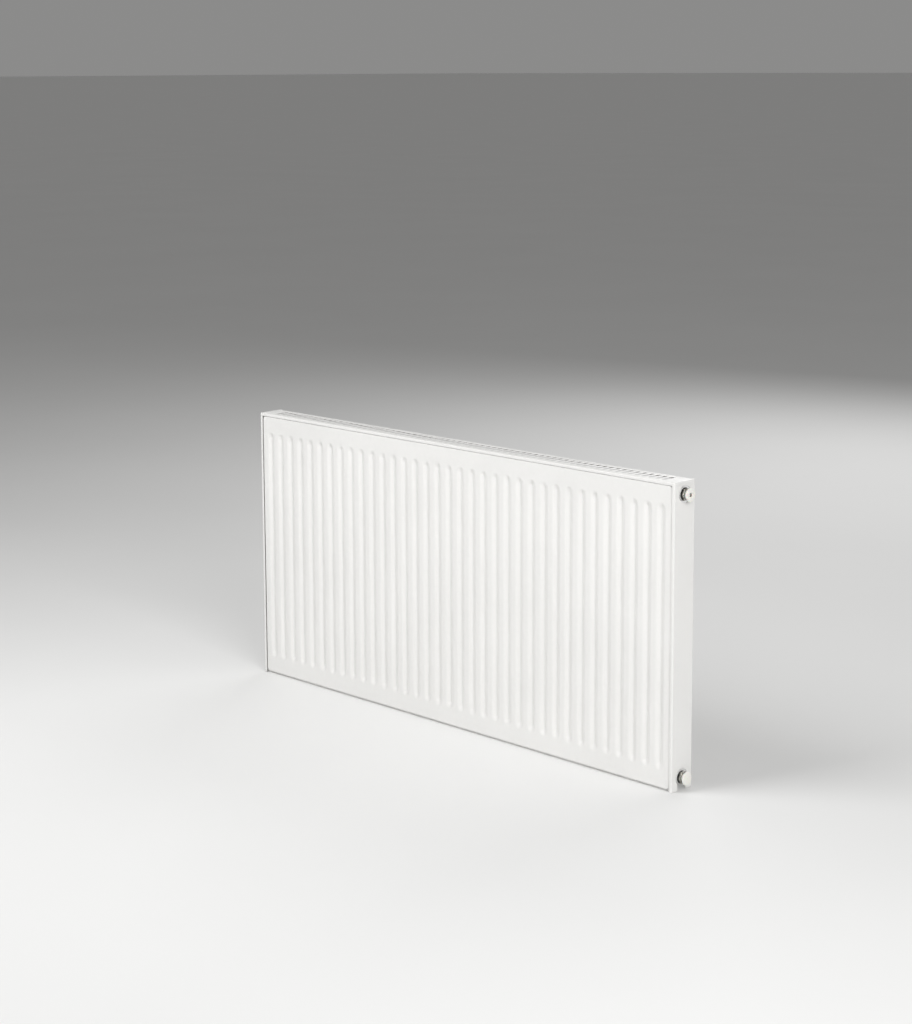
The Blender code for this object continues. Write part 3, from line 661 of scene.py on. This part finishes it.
def panel_rows():
    """Lines up the panel: few along the grooves, many where they end."""
    lines = {panel_low.z, panel_high.z, *outline_lines(PRESSING_BOTTOM, PRESSING_TOP)}
    lines.update(spread(GROOVES_FROM, GROOVES_FROM + GROOVE_END_FADE, 8))
    lines.update(spread(GROOVES_TO - GROOVE_END_FADE, GROOVES_TO, 8))
    lines.update(spread(GROOVES_FROM + GROOVE_END_FADE, GROOVES_TO - GROOVE_END_FADE, 6))
    return sorted(lines)


print(len(panel_columns()), "columns and", len(panel_rows()), "rows")


# %% Press the front and the rear sheet
def press_sheet(seam_y, height_at, towards):
    """A grid pushed out of its seam plane, towards the room (-1) or the wall (+1)."""
    columns = panel_columns()
    rows = panel_rows()
    bm = bmesh.new()
    grid = [
        [bm.verts.new((MIDDLE_X + x, seam_y + towards * height_at(x, z), z)) for x in columns]
        for z in rows
    ]
    for low, high in zip(grid, grid[1:]):
        for column in range(len(columns) - 1):
            bm.faces.new((low[column], low[column + 1], high[column + 1], high[column]))
    if towards > 0:
        bmesh.ops.reverse_faces(bm, faces=bm.faces)
    return bm


def sheet_piece(name, bm, finish):
    """A pressed sheet with its thickness behind its shown face."""
    piece = new_object(name, bm, finish)
    thicken(piece, PANEL_SHEET)
    settle(piece, 50.0)
    return piece


front = sheet_piece("pressed_front", press_sheet(SEAM_FRONT, front_height, -1.0), ENAMEL)
stand_for(front, "front_sheet", "radiator")
SEAM_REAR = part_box("rear_sheet")[0].y + PANEL_SHEET
rear = sheet_piece("pressed_rear", press_sheet(SEAM_REAR, rear_height, 1.0), REAR_ENAMEL)
stand_for(rear, "rear_sheet", "radiator")

# %% [markdown]
# ## Bent strips
#
# The convector, the lugs and the clips are all strips that are folded and then
# cut to length. Each is a path of straight runs whose corners are rounded, drawn
# out along X or Z. On a real fold the outside is never sharp, and this small
# radius is what catches the light.


# %% Round the corners of a path
def rounded_path(points, radius, steps=4):
    """The path with an arc in the place of each inner corner."""
    points = [Vector(point) for point in points]
    path = [points[0]]
    for before, corner, after in zip(points, points[1:], points[2:]):
        into = (before - corner).normalized()
        out = (after - corner).normalized()
        half = into.angle(out) / 2
        centre = corner + (into + out).normalized() * radius / math.sin(half)
        start = corner + into * radius / math.tan(half) - centre
        end = corner + out * radius / math.tan(half) - centre
        path += [centre + start.slerp(end, part).normalized() * radius for part in spread(0.0, 1.0, steps)]
    return path + [points[-1]]


def bent_strip(name, path, axis, low, high, sheet, finish, edge=0.15 * MM):
    """A strip along a path of two coordinates, drawn out along X or Z from low to high.

    Along X the path is (y, z) and the strip's outer face is up where the path runs
    back. Along Z it is (x, y) and the outer face is to the room where it runs right.
    """
    bm = bmesh.new()
    if axis == "X":
        rows = [[bm.verts.new((along, y, z)) for y, z in path] for along in (high, low)]
    else:
        rows = [[bm.verts.new((x, y, along)) for x, y in path] for along in (low, high)]
    first, second = rows
    for index in range(len(path) - 1):
        bm.faces.new((first[index], first[index + 1], second[index + 1], second[index]))
    piece = new_object(name, bm, finish)
    thicken(piece, sheet)
    soften(piece, edge, 2, 60.0)
    settle(piece)
    return piece


print("a rounded corner takes", len(rounded_path([(0, 0), (1, 0), (1, 1)], 0.1)) - 2, "points")

# %% [markdown]
# ## Convector
#
# Behind the water panel stands a thin folded sheet. Its narrow flats are spot
# welded to the water channels, and its deep folds give their heat to the air
# that rises between them. It comes in three lengths, parted where the lugs
# stand. The folds of each length are counted from its own box.

# %% Fold the convector sheets
CONVECTOR_SHEET = 0.5 * MM
CONVECTOR_FLAT = 11.0 * MM
CONVECTOR_REAR_OPENING = 14.0 * MM
FOLD_RADIUS = 2.2 * MM


def convector_path(low, high):
    """Flats on the ridges in the box, with a deep fold between each two."""
    count = round((high.x - low.x - CONVECTOR_REAR_OPENING) / GROOVE_PITCH) + 1
    middle = (low.x + high.x) / 2
    points = []
    for index in range(count):
        ridge = middle + (index - (count - 1) / 2) * GROOVE_PITCH
        points.append((ridge - CONVECTOR_REAR_OPENING / 2, high.y))
        points.append((ridge - CONVECTOR_FLAT / 2, low.y))
        points.append((ridge + CONVECTOR_FLAT / 2, low.y))
        points.append((ridge + CONVECTOR_REAR_OPENING / 2, high.y))
    return points


for part in ("left", "middle", "right"):
    node = "convector_" + part
    low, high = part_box(node)
    path = rounded_path(convector_path(low, high - Vector((0.0, CONVECTOR_SHEET, 0.0))), FOLD_RADIUS)
    piece = bent_strip("folded_" + node, path, "Z", low.z, high.z, CONVECTOR_SHEET, REAR_ENAMEL, 0.1 * MM)
    stand_for(piece, node, "radiator")

# %% [markdown]
# ## Hanging lugs
#
# Four hats of thicker sheet are welded over grooves of the rear sheet. The hook
# of a wall bracket passes down behind the web. The feet lie on the channels at
# both sides, so the path runs foot, side, web, side, foot.

# %% Bend the lugs
LUG_SHEET = 2.0 * MM
LUG_WEB_WIDTH = 25.0 * MM
LUG_BEND = 2.6 * MM

for side in ("left", "right"):
    for level in ("lower", "upper"):
        node = "hanging_lug_" + side + "_" + level
        low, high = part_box(node)
        middle = (low.x + high.x) / 2
        foot = low.y + LUG_SHEET
        corners = [
            (high.x, foot),
            (middle + LUG_WEB_WIDTH / 2, foot),
            (middle + LUG_WEB_WIDTH / 2, high.y),
            (middle - LUG_WEB_WIDTH / 2, high.y),
            (middle - LUG_WEB_WIDTH / 2, foot),
            (low.x, foot),
        ]
        path = rounded_path(corners, LUG_BEND, 6)
        piece = bent_strip("bent_" + node, path, "Z", low.z, high.z, LUG_SHEET, REAR_ENAMEL, 0.35 * MM)
        stand_for(piece, node, "radiator")

# %% [markdown]
# ## Spring clips
#
# The grille and the covers are held by small bridges of spring strip that grip
# the panel's weld seam. Each is a U: up the front of the seam, across and down
# the back. The grille clips are drawn out along X and the cover clips along Z.

# %% Bend the clips
CLIP_SHEET = 0.6 * MM
CLIP_BEND = 1.0 * MM

for index in range(1, 5):
    node = "grille_clip_" + str(index)
    low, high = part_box(node)
    corners = [(low.y, low.z), (low.y, high.z), (high.y, high.z), (high.y, low.z)]
    path = rounded_path(corners, CLIP_BEND)
    piece = bent_strip("bent_" + node, path, "X", low.x, high.x, CLIP_SHEET, STRIP_STEEL, 0.1 * MM)
    stand_for(piece, node, "grille")

for side in ("left", "right"):
    for level in ("lower", "upper"):
        node = "cover_clip_" + side + "_" + level
        low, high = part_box(node)
        if side == "right":
            corners = [(low.x, low.y), (high.x, low.y), (high.x, high.y), (low.x, high.y)]
        else:
            corners = [(high.x, high.y), (low.x, high.y), (low.x, low.y), (high.x, low.y)]
        path = rounded_path(corners, CLIP_BEND)
        piece = bent_strip("bent_" + node, path, "Z", low.z, high.z, CLIP_SHEET, STRIP_STEEL, 0.1 * MM)
        stand_for(piece, node, side + "_cover")

# %% [markdown]
# ## Top grille
#
# Warm air leaves through a row of 68 slots. Punching pulls the rim of each slot
# down a little, so each one has a rounded edge that catches light. Such a rim
# can't be had from a Boolean and a Bevel over so many slots without bad faces.
# It is easier to draw one cell, a ring of faces between the cell's square edge
# and the slot's round outline, and to lay the cell 68 times.

# %% Outline of one slot
SLOT_PITCH = 50.0 / 3 * MM
SLOT_HALF_WIDTH = 4.0 * MM
SLOT_HALF_LENGTH = 16.0 * MM
SLOT_CORNER = 3.0 * MM
SLOT_MIDDLE_Y = 1.0 * MM
CORNER_STEPS = 4
SIDE_STEPS = 3
CELL_MARGIN = 3.0 * MM


def slot_outline(grown):
    """Points round a slot that is this much larger all round, from its front left."""
    wide = SLOT_HALF_WIDTH + grown
    long = SLOT_HALF_LENGTH + grown
    corner = SLOT_CORNER + grown
    arc = [math.pi / 2 * part for part in spread(0.0, 1.0, CORNER_STEPS)]
    left = [(-wide + corner - corner * math.cos(a), -long + corner - corner * math.sin(a)) for a in arc]
    front = left + [(-x, y) for x, y in reversed(left)]
    right = [(wide, y) for y in spread(-long + corner, long - corner, SIDE_STEPS)[1:-1]]
    half = front + right
    return half + [(-x, -y) for x, y in half]


def cell_outline():
    """Points round a cell, one for each point of the slot's outline."""
    half_pitch = SLOT_PITCH / 2
    half_depth = SLOT_HALF_LENGTH + CELL_MARGIN
    front = [(x, -half_depth) for x in spread(-half_pitch, half_pitch, 2 * CORNER_STEPS + 1)]
    right = [(half_pitch, y) for y in spread(-half_depth, half_depth, SIDE_STEPS)[1:-1]]
    half = front + right
    return half + [(-x, -y) for x, y in half]


print("points round a slot:", len(slot_outline(0.0)), "and round its cell:", len(cell_outline()))

# %% Lay the grille
GRILLE_SHEET = 1.0 * MM
GRILLE_BEND = 1.6 * MM
GRILLE_SOLID_END = 19.0 * MM
RIM = 0.35 * MM

grille_low, grille_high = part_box("top_grille")
SLOT_COUNT = int((grille_high.x - grille_low.x - 2 * GRILLE_SOLID_END) / SLOT_PITCH)
SLOT_CENTRES = [MIDDLE_X + (index - (SLOT_COUNT - 1) / 2) * SLOT_PITCH for index in range(SLOT_COUNT)]


def lay_cell(bm, centre_x, top):
    """One cell of the grille: rings of faces from its edge down into its slot."""
    rings = [(cell_outline(), 0.0)]
    for grown, drop in ((RIM, 0.0), (0.3 * RIM, 0.25 * RIM), (0.0, RIM)):
        rings.append((slot_outline(grown), drop))
    laid = [
        [bm.verts.new((centre_x + x, SLOT_MIDDLE_Y + y, top - drop)) for x, y in outline]
        for outline, drop in rings
    ]
    for outer, inner in zip(laid, laid[1:]):
        for index in range(len(outer)):
            after = (index + 1) % len(outer)
            bm.faces.new((outer[index], outer[after], inner[after], inner[index]))


def lay_band(bm, columns, path):
    """Plain sheet between the columns, along a path of (y, z)."""
    rows = [[bm.verts.new((x, y, z)) for x in columns] for y, z in path]
    for low, high in zip(rows, rows[1:]):
        for index in range(len(columns) - 1):
            bm.faces.new((low[index], low[index + 1], high[index + 1], high[index]))


def grille_mesh():
    """The lips, the margins, the solid ends and the cells, as one sheet."""
    top = grille_high.z
    corners = [
        (grille_low.y, grille_low.z),
        (grille_low.y, top),
        (grille_high.y, top),
        (grille_high.y, grille_low.z),
    ]
    path = [tuple(point) for point in rounded_path(corners, GRILLE_BEND, 6)]
    fold = len(path) // 2
    cell_front = SLOT_MIDDLE_Y - SLOT_HALF_LENGTH - CELL_MARGIN
    cell_back = SLOT_MIDDLE_Y + SLOT_HALF_LENGTH + CELL_MARGIN
    first = SLOT_CENTRES[0] - SLOT_PITCH / 2
    last = SLOT_CENTRES[-1] + SLOT_PITCH / 2
    cells = spread(first, last, SLOT_COUNT * (2 * CORNER_STEPS + 1))
    columns = [grille_low.x] + cells + [grille_high.x]
    bm = bmesh.new()
    lay_band(bm, columns, path[:fold] + [(cell_front, top)])
    lay_band(bm, columns, [(cell_back, top)] + path[fold:])
    sides = [(y, top) for y in spread(cell_front, cell_back, SIDE_STEPS)]
    lay_band(bm, [grille_low.x, first], sides)
    lay_band(bm, [last, grille_high.x], sides)
    for centre in SLOT_CENTRES:
        lay_cell(bm, centre, top)
    bmesh.ops.remove_doubles(bm, verts=bm.verts, dist=0.01 * MM)
    return bm


grille = new_object("slotted_grille", grille_mesh(), ENAMEL)
thicken(grille, GRILLE_SHEET)
settle(grille)
stand_for(grille, "top_grille", "grille")

# %% [markdown]
# ## Side covers
#
# Each cover is a shallow tray, bent on three sides and open below. Its outer
# face has a round hole at the upper tapping. At the lower one the hole runs out
# through the bottom edge, so that a pipe can come up. A box without its inner
# and lower faces, bevelled and thickened, gives the tray. Cylinders with many
# sides cut clean holes.

# %% Tools for the holes
COVER_HOLE_RADIUS = 17.0 * MM
COVER_SLOT_WIDTH = 24.0 * MM
HOLE_SIDES = 96


def round_tool(name, radius, centre, length, axis):
    """A cylinder along an axis, with its middle at the centre."""
    bm = bmesh.new()
    bmesh.ops.create_cone(
        bm, cap_ends=True, segments=HOLE_SIDES, radius1=radius, radius2=radius, depth=length
    )
    if axis == "X":
        bmesh.ops.rotate(bm, matrix=Matrix.Rotation(math.pi / 2, 3, "Y"), verts=bm.verts)
    if axis == "Y":
        bmesh.ops.rotate(bm, matrix=Matrix.Rotation(math.pi / 2, 3, "X"), verts=bm.verts)
    bmesh.ops.translate(bm, vec=centre, verts=bm.verts)
    return new_object(name, bm)


def box_tool(name, centre, size):
    """A box with its middle at the centre."""
    bm = bmesh.new()
    bmesh.ops.create_cube(bm, size=1.0)
    bmesh.ops.scale(bm, vec=size, verts=bm.verts)
    bmesh.ops.translate(bm, vec=centre, verts=bm.verts)
    return new_object(name, bm)


print("hole radius", COVER_HOLE_RADIUS / MM, "mm,", HOLE_SIDES, "sides")

# %% Bend and punch the covers
COVER_SHEET = 1.0 * MM
COVER_BEND = 2.2 * MM
PUNCH_DEPTH = 8 * COVER_SHEET
PUNCHED_EDGE = 0.22 * MM


def cover_tray(name, low, high, outward):
    """An open tray round the box, with its outer face on the outward side."""
    bm = bmesh.new()
    bmesh.ops.create_cube(bm, size=1.0)
    bmesh.ops.scale(bm, vec=high - low, verts=bm.verts)
    bmesh.ops.translate(bm, vec=(high + low) / 2, verts=bm.verts)
    opened = [face for face in bm.faces if face.normal.x * outward < -0.5 or face.normal.z < -0.5]
    bmesh.ops.delete(bm, geom=opened, context="FACES")
    tray = new_object(name, bm, ENAMEL)
    soften(tray, COVER_BEND, 6)
    thicken(tray, COVER_SHEET)
    return tray


def side_cover(side, outward):
    """A tray with its two holes, and every cut edge softened."""
    node = "side_cover_" + side
    low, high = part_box(node)
    face_x = high.x if outward > 0 else low.x
    tray = cover_tray("bent_" + node, low, high, outward)
    tools = [
        round_tool(node + "_upper_hole", COVER_HOLE_RADIUS, (face_x, 0.0, VENT_Z), PUNCH_DEPTH, "X"),
        round_tool(node + "_lower_hole", COVER_HOLE_RADIUS, (face_x, 0.0, BLANK_Z), PUNCH_DEPTH, "X"),
        box_tool(node + "_pipe_slot", (face_x, 0.0, 0.0), (PUNCH_DEPTH, COVER_SLOT_WIDTH, 2 * BLANK_Z)),
    ]
    cut(tray, tools)
    soften(tray, PUNCHED_EDGE, 2, 40.0)
    settle(tray)
    tray.modifiers.new("flat_faces", "WEIGHTED_NORMAL").keep_sharp = True
    stand_for(tray, node, side + "_cover")


side_cover("left", -1.0)
side_cover("right", 1.0)

# %% [markdown]
# ## Turned parts
#
# Tappings, plugs, seals and caps are all round about one axis along X, so one
# helper makes them. It lays a ring of points at each station of a profile and
# joins the rings. The radius at a point may depend on the angle, which gives a
# hexagon, a square, a fluted grip or a real helical thread from the same helper.


# %% Rings along an axis
TURN_SIDES = 96


def turned(name, stations, axis_z, finish, shape=None, smooth_angle=32.0):
    """A solid of rings. A station is (x, radius) or (x, radius, kind) for the shape."""
    bm = bmesh.new()
    rings = []
    for station in stations:
        ring = []
        for step in range(TURN_SIDES):
            angle = 2.0 * math.pi * step / TURN_SIDES
            radius = shape(station, angle) if shape and len(station) > 2 else station[1]
            place = (station[0], radius * math.cos(angle), axis_z + radius * math.sin(angle))
            ring.append(bm.verts.new(place))
        rings.append(ring)
    if stations[0][1] > 0.0:
        rings.append(rings[0])
    for ring, following in zip(rings, rings[1:]):
        for step in range(TURN_SIDES):
            after = (step + 1) % TURN_SIDES
            bm.faces.new((ring[step], ring[after], following[after], following[step]))
    return make_piece(name, bm, finish, smooth_angle)


def polygon_radius(half_width, corners, angle):
    """Distance from the middle of a regular polygon to its side in this direction."""
    sector = 2.0 * math.pi / corners
    return half_width / math.cos((angle % sector) - sector / 2)


print("a turned ring has", TURN_SIDES, "points")

# %% [markdown]
# ## Tappings
#
# A pipe or plug screws into a short tube at each corner, which a neck joins to
# the water panel. The free tappings on the left show their thread, 14 turns to
# the inch, so it is cut as a real helix: the radius falls and rises once a turn,
# and the phase moves on with the angle. The two on the right are filled by plugs.

# %% Cut the tappings
TAPPING_RADIUS = 13.5 * MM
TAPPING_BORE = 10.5 * MM
TAPPING_BORE_DEPTH = 18.0 * MM
TAPPING_END_WALL = 5.0 * MM
TAPPING_MOUTH = 0.9 * MM
WATERWAY_RADIUS = 8.0 * MM
NECK_RADIUS = 9.5 * MM
NECK_END_Y = -9.0 * MM
THREAD_PITCH = 25.4 / 14 * MM
THREAD_DEPTH = 1.1 * MM
THREAD_STATIONS = 8
EDGE_CHAMFER = 0.5 * MM


def thread_radius(station, angle):
    """Bore radius where a thread stands inwards: a crest once a turn, faded in at the mouth."""
    radius, inward, outward = station[1], station[3], station[4]
    turn = inward / THREAD_PITCH - outward * angle / (2.0 * math.pi)
    crest = 1.0 - abs(2.0 * (turn % 1.0) - 1.0)
    fade = smooth_step((inward - TAPPING_MOUTH) / THREAD_PITCH)
    return radius - THREAD_DEPTH * min(crest * 1.3, 1.0) * fade


def tapping_stations(face_x, length, outward, threaded):
    """Profile of a tapping, from the middle of its inner end to its bore's floor."""
    outline = [
        (length, 0.0),
        (length, TAPPING_RADIUS - EDGE_CHAMFER),
        (length - EDGE_CHAMFER, TAPPING_RADIUS),
        (EDGE_CHAMFER, TAPPING_RADIUS),
        (0.0, TAPPING_RADIUS - EDGE_CHAMFER),
        (0.0, TAPPING_BORE + 0.8 * TAPPING_MOUTH),
        (TAPPING_MOUTH, TAPPING_BORE),
    ]
    stations = [(face_x - outward * inward, radius) for inward, radius in outline]
    if threaded:
        end = TAPPING_BORE_DEPTH - THREAD_PITCH
        count = round((end - TAPPING_MOUTH) / THREAD_PITCH * THREAD_STATIONS)
        for inward in spread(TAPPING_MOUTH, end, count)[1:]:
            x = face_x - outward * inward
            stations.append((x, TAPPING_BORE, "thread", inward, outward))
    floor = length - TAPPING_END_WALL
    for inward, radius in (
        (TAPPING_BORE_DEPTH, TAPPING_BORE),
        (TAPPING_BORE_DEPTH, WATERWAY_RADIUS),
        (floor, WATERWAY_RADIUS),
        (floor, 0.0),
    ):
        stations.append((face_x - outward * inward, radius))
    return stations


def neck_tube(name, x, z, start_y, end_y):
    """The short round neck between a tapping and the water panel."""
    neck = round_tool(name, NECK_RADIUS, (x, (start_y + end_y) / 2, z), end_y - start_y, "Y")
    neck.data.materials.append(ENAMEL)
    return neck


for side, outward in (("left", -1.0), ("right", 1.0)):
    for level, axis_z in (("bottom", BLANK_Z), ("top", VENT_Z)):
        node = "tapping_" + side + "_" + level
        low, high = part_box(node)
        face_x = high.x if outward > 0 else low.x
        length = high.x - low.x
        stations = tapping_stations(face_x, length, outward, side == "left")
        tapping = turned("turned_" + node, stations, axis_z, ENAMEL, thread_radius)
        neck_x = face_x - outward * (length - TAPPING_END_WALL - NECK_RADIUS)
        neck = neck_tube(node + "_neck", neck_x, axis_z, low.y, NECK_END_Y)
        join = tapping.modifiers.new("neck", "BOOLEAN")
        join.operation = "UNION"
        join.object = neck
        settle(tapping, 32.0)
        bpy.data.objects.remove(neck)
        stand_for(tapping, node, "radiator")

# %% [markdown]
# ## Plugs
#
# The vent plug and the blanking plug are the same turned part: a thread, a
# hexagon for a spanner and a spigot. A hexagon is chamfered on a lathe, so its
# corners are cut by a cone. The smaller of the hexagon's and the cone's radius
# at each point gives just that. The vent plug is bored for its bleed screw.

# %% Turn the plugs
HEX_HALF_WIDTH = 11.0 * MM
HEX_THICKNESS = 5.0 * MM
HEX_CHAMFER = 0.9 * MM
HEX_FACE_RADIUS = 11.1 * MM
HEX_CORNER_RADIUS = 12.75 * MM
SHANK_RADIUS = 10.2 * MM
SHANK_CHAMFER = 0.8 * MM
SPIGOT_RADIUS = 6.0 * MM
SPIGOT_CHAMFER = 0.4 * MM
SPIGOT_LENGTH = 6.0 * MM
SPINDLE_RADIUS = 3.5 * MM
SPINDLE_LENGTH = 9.0 * MM
RUNNING_CLEARANCE = 0.05 * MM
PASSAGE_RADIUS = 1.5 * MM


def hex_radius(station, angle):
    """The smaller of the hexagon and the round chamfer."""
    return min(station[1], polygon_radius(HEX_HALF_WIDTH, 6, angle))


def plug_stations(low_x, high_x, bored):
    """Profile of a plug: shank, hexagon and spigot, with the bleed passage if bored."""
    hex_end = high_x - SPIGOT_LENGTH
    hex_start = hex_end - HEX_THICKNESS
    outside = [
        (low_x, SHANK_RADIUS - SHANK_CHAMFER),
        (low_x + SHANK_CHAMFER, SHANK_RADIUS),
        (hex_start, SHANK_RADIUS),
        (hex_start, HEX_FACE_RADIUS, "hex"),
        (hex_start + HEX_CHAMFER / 3, HEX_FACE_RADIUS + 0.5 * MM, "hex"),
        (hex_start + HEX_CHAMFER, HEX_CORNER_RADIUS, "hex"),
        (hex_end - HEX_CHAMFER, HEX_CORNER_RADIUS, "hex"),
        (hex_end - HEX_CHAMFER / 3, HEX_FACE_RADIUS + 0.5 * MM, "hex"),
        (hex_end, HEX_FACE_RADIUS, "hex"),
        (hex_end, SPIGOT_RADIUS),
        (high_x - SPIGOT_CHAMFER, SPIGOT_RADIUS),
        (high_x, SPIGOT_RADIUS - SPIGOT_CHAMFER),
    ]
    if not bored:
        return [(low_x, 0.0)] + outside + [(high_x, 0.0)]
    bore = SPINDLE_RADIUS + RUNNING_CLEARANCE
    inside = [
        (high_x, bore + 0.3 * MM),
        (high_x - 0.3 * MM, bore),
        (high_x - SPINDLE_LENGTH, bore),
        (high_x - SPINDLE_LENGTH, PASSAGE_RADIUS),
        (low_x, PASSAGE_RADIUS),
    ]
    return outside + inside


for node, axis_z, finish in (("vent_plug", VENT_Z, VENT_NICKEL), ("blanking_plug", BLANK_Z, BLANK_NICKEL)):
    low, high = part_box(node)
    stations = plug_stations(low.x, high.x, node == "vent_plug")
    piece = turned("turned_" + node, stations, axis_z, finish, hex_radius, 25.0)
    stand_for(piece, node, "radiator")

# %% [markdown]
# A rubber ring seals each plug. The bleed screw sits in the vent plug and ends
# in a square for a key. The same trick as for the hexagon gives the square, with
# its corners rounded by the turned blank.

# %% Seals and bleed screw
SEAL_WIRE = 0.9 * MM
SQUARE_HALF = 2.5 * MM
SQUARE_BLANK = 3.3 * MM
SCREW_TAPER = 1.4 * MM

for node, axis_z in (("vent_plug_seal", VENT_Z), ("blanking_plug_seal", BLANK_Z)):
    low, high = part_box(node)
    middle_x = (low.x + high.x) / 2
    ring_radius = (high.z - low.z) / 2 - SEAL_WIRE
    turn = [2.0 * math.pi * part for part in spread(0.0, 1.0, 20)[:-1]]
    stations = [(middle_x + SEAL_WIRE * math.cos(a), ring_radius + SEAL_WIRE * math.sin(a)) for a in turn]
    piece = turned("round_" + node, stations, axis_z, RUBBER)
    stand_for(piece, node, "radiator")


def square_radius(station, angle):
    """The smaller of the square and the turned blank that it is milled from."""
    return min(station[1], polygon_radius(SQUARE_HALF, 4, angle))


low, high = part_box("bleed_screw")
spigot_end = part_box("vent_plug")[1].x
screw_stations = [
    (low.x, 0.0),
    (low.x, 0.9 * MM),
    (low.x + SCREW_TAPER, SPINDLE_RADIUS),
    (spigot_end - 0.2 * MM, SPINDLE_RADIUS),
    (spigot_end, SPINDLE_RADIUS - 0.2 * MM),
    (spigot_end, SQUARE_BLANK, "square"),
    (high.x - 0.4 * MM, SQUARE_BLANK, "square"),
    (high.x, SQUARE_BLANK - 0.6 * MM, "square"),
    (high.x, 0.0),
]
screw = turned("turned_bleed_screw", screw_stations, VENT_Z, VENT_NICKEL, square_radius, 25.0)
stand_for(screw, "bleed_screw", "spindle")

# %% [markdown]
# The vent collar turns on the spigot, so that its small outlet can be pointed
# into a cup. Shallow flutes round its wide head give the fingers a grip. The
# blanking cap has the same head, closed and plain, with a small dimple where the
# plastic was let in.

# %% Mould the collar and the cap
GRIP_FLUTES = 24
GRIP_DEPTH = 0.35 * MM
HEAD_THICKNESS = 3.0 * MM
HEAD_ROUNDING = 0.9 * MM
HEAD_EDGE = 0.4 * MM
HEAD_NECK_RADIUS = 8.5 * MM
EYE_RADIUS = 3.9 * MM
EYE_CHAMFER = 0.6 * MM
OUTLET_RADIUS = 1.6 * MM
HEAD_END_WALL = 2.0 * MM
CAP_BORE = 6.3 * MM
DIMPLE_RADIUS = 1.5 * MM
DIMPLE_FLOOR_RADIUS = 1.2 * MM
DIMPLE_DEPTH = 0.2 * MM


def fluted_radius(station, angle):
    """Radius of a grip with a row of shallow hollows round it."""
    return station[1] - GRIP_DEPTH * (0.5 - 0.5 * math.cos(GRIP_FLUTES * angle))


def head_stations(low, high, rim):
    """Stations of a neck and a wide flat head with a round rim, from the back to the face."""
    radius = (high.y - low.y) / 2
    back = high.x - HEAD_THICKNESS
    centre = high.x - HEAD_ROUNDING
    rounded = [
        (centre + HEAD_ROUNDING * math.sin(a), radius - HEAD_ROUNDING * (1.0 - math.cos(a)))
        for a in (math.pi / 2 * part for part in spread(0.0, 1.0, 5))
    ]
    return [
        (low.x, HEAD_NECK_RADIUS),
        (back, HEAD_NECK_RADIUS),
        (back, radius - HEAD_EDGE),
        (back + HEAD_EDGE, radius, *rim),
        (centre - 0.3 * MM, radius, *rim),
        *rounded,
    ]


low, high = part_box("vent_collar")
collar_floor = high.x - HEAD_END_WALL
collar_stations = [
    (collar_floor, SPIGOT_RADIUS + RUNNING_CLEARANCE),
    (low.x, SPIGOT_RADIUS + RUNNING_CLEARANCE),
    *head_stations(low, high, ["grip"]),
    (high.x, EYE_RADIUS + EYE_CHAMFER),
    (high.x - EYE_CHAMFER, EYE_RADIUS),
    (collar_floor, EYE_RADIUS),
]
collar = turned("moulded_vent_collar", collar_stations, VENT_Z, IVORY, fluted_radius)
outlet_x = (low.x + high.x - HEAD_THICKNESS) / 2
outlet_place = (outlet_x, 0.0, VENT_Z - HEAD_NECK_RADIUS)
cut(collar, [round_tool("outlet", OUTLET_RADIUS, outlet_place, HEAD_NECK_RADIUS, "Z")])
stand_for(collar, "vent_collar", "collar")

low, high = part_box("blanking_cap")
cap_stations = [
    (high.x - HEAD_END_WALL, 0.0),
    (high.x - HEAD_END_WALL, CAP_BORE),
    (low.x, CAP_BORE),
    *head_stations(low, high, []),
    (high.x, DIMPLE_RADIUS),
    (high.x - DIMPLE_DEPTH, DIMPLE_FLOOR_RADIUS),
    (high.x - DIMPLE_DEPTH, 0.0),
]
cap = turned("moulded_blanking_cap", cap_stations, BLANK_Z, IVORY)
stand_for(cap, "blanking_cap", "radiator")
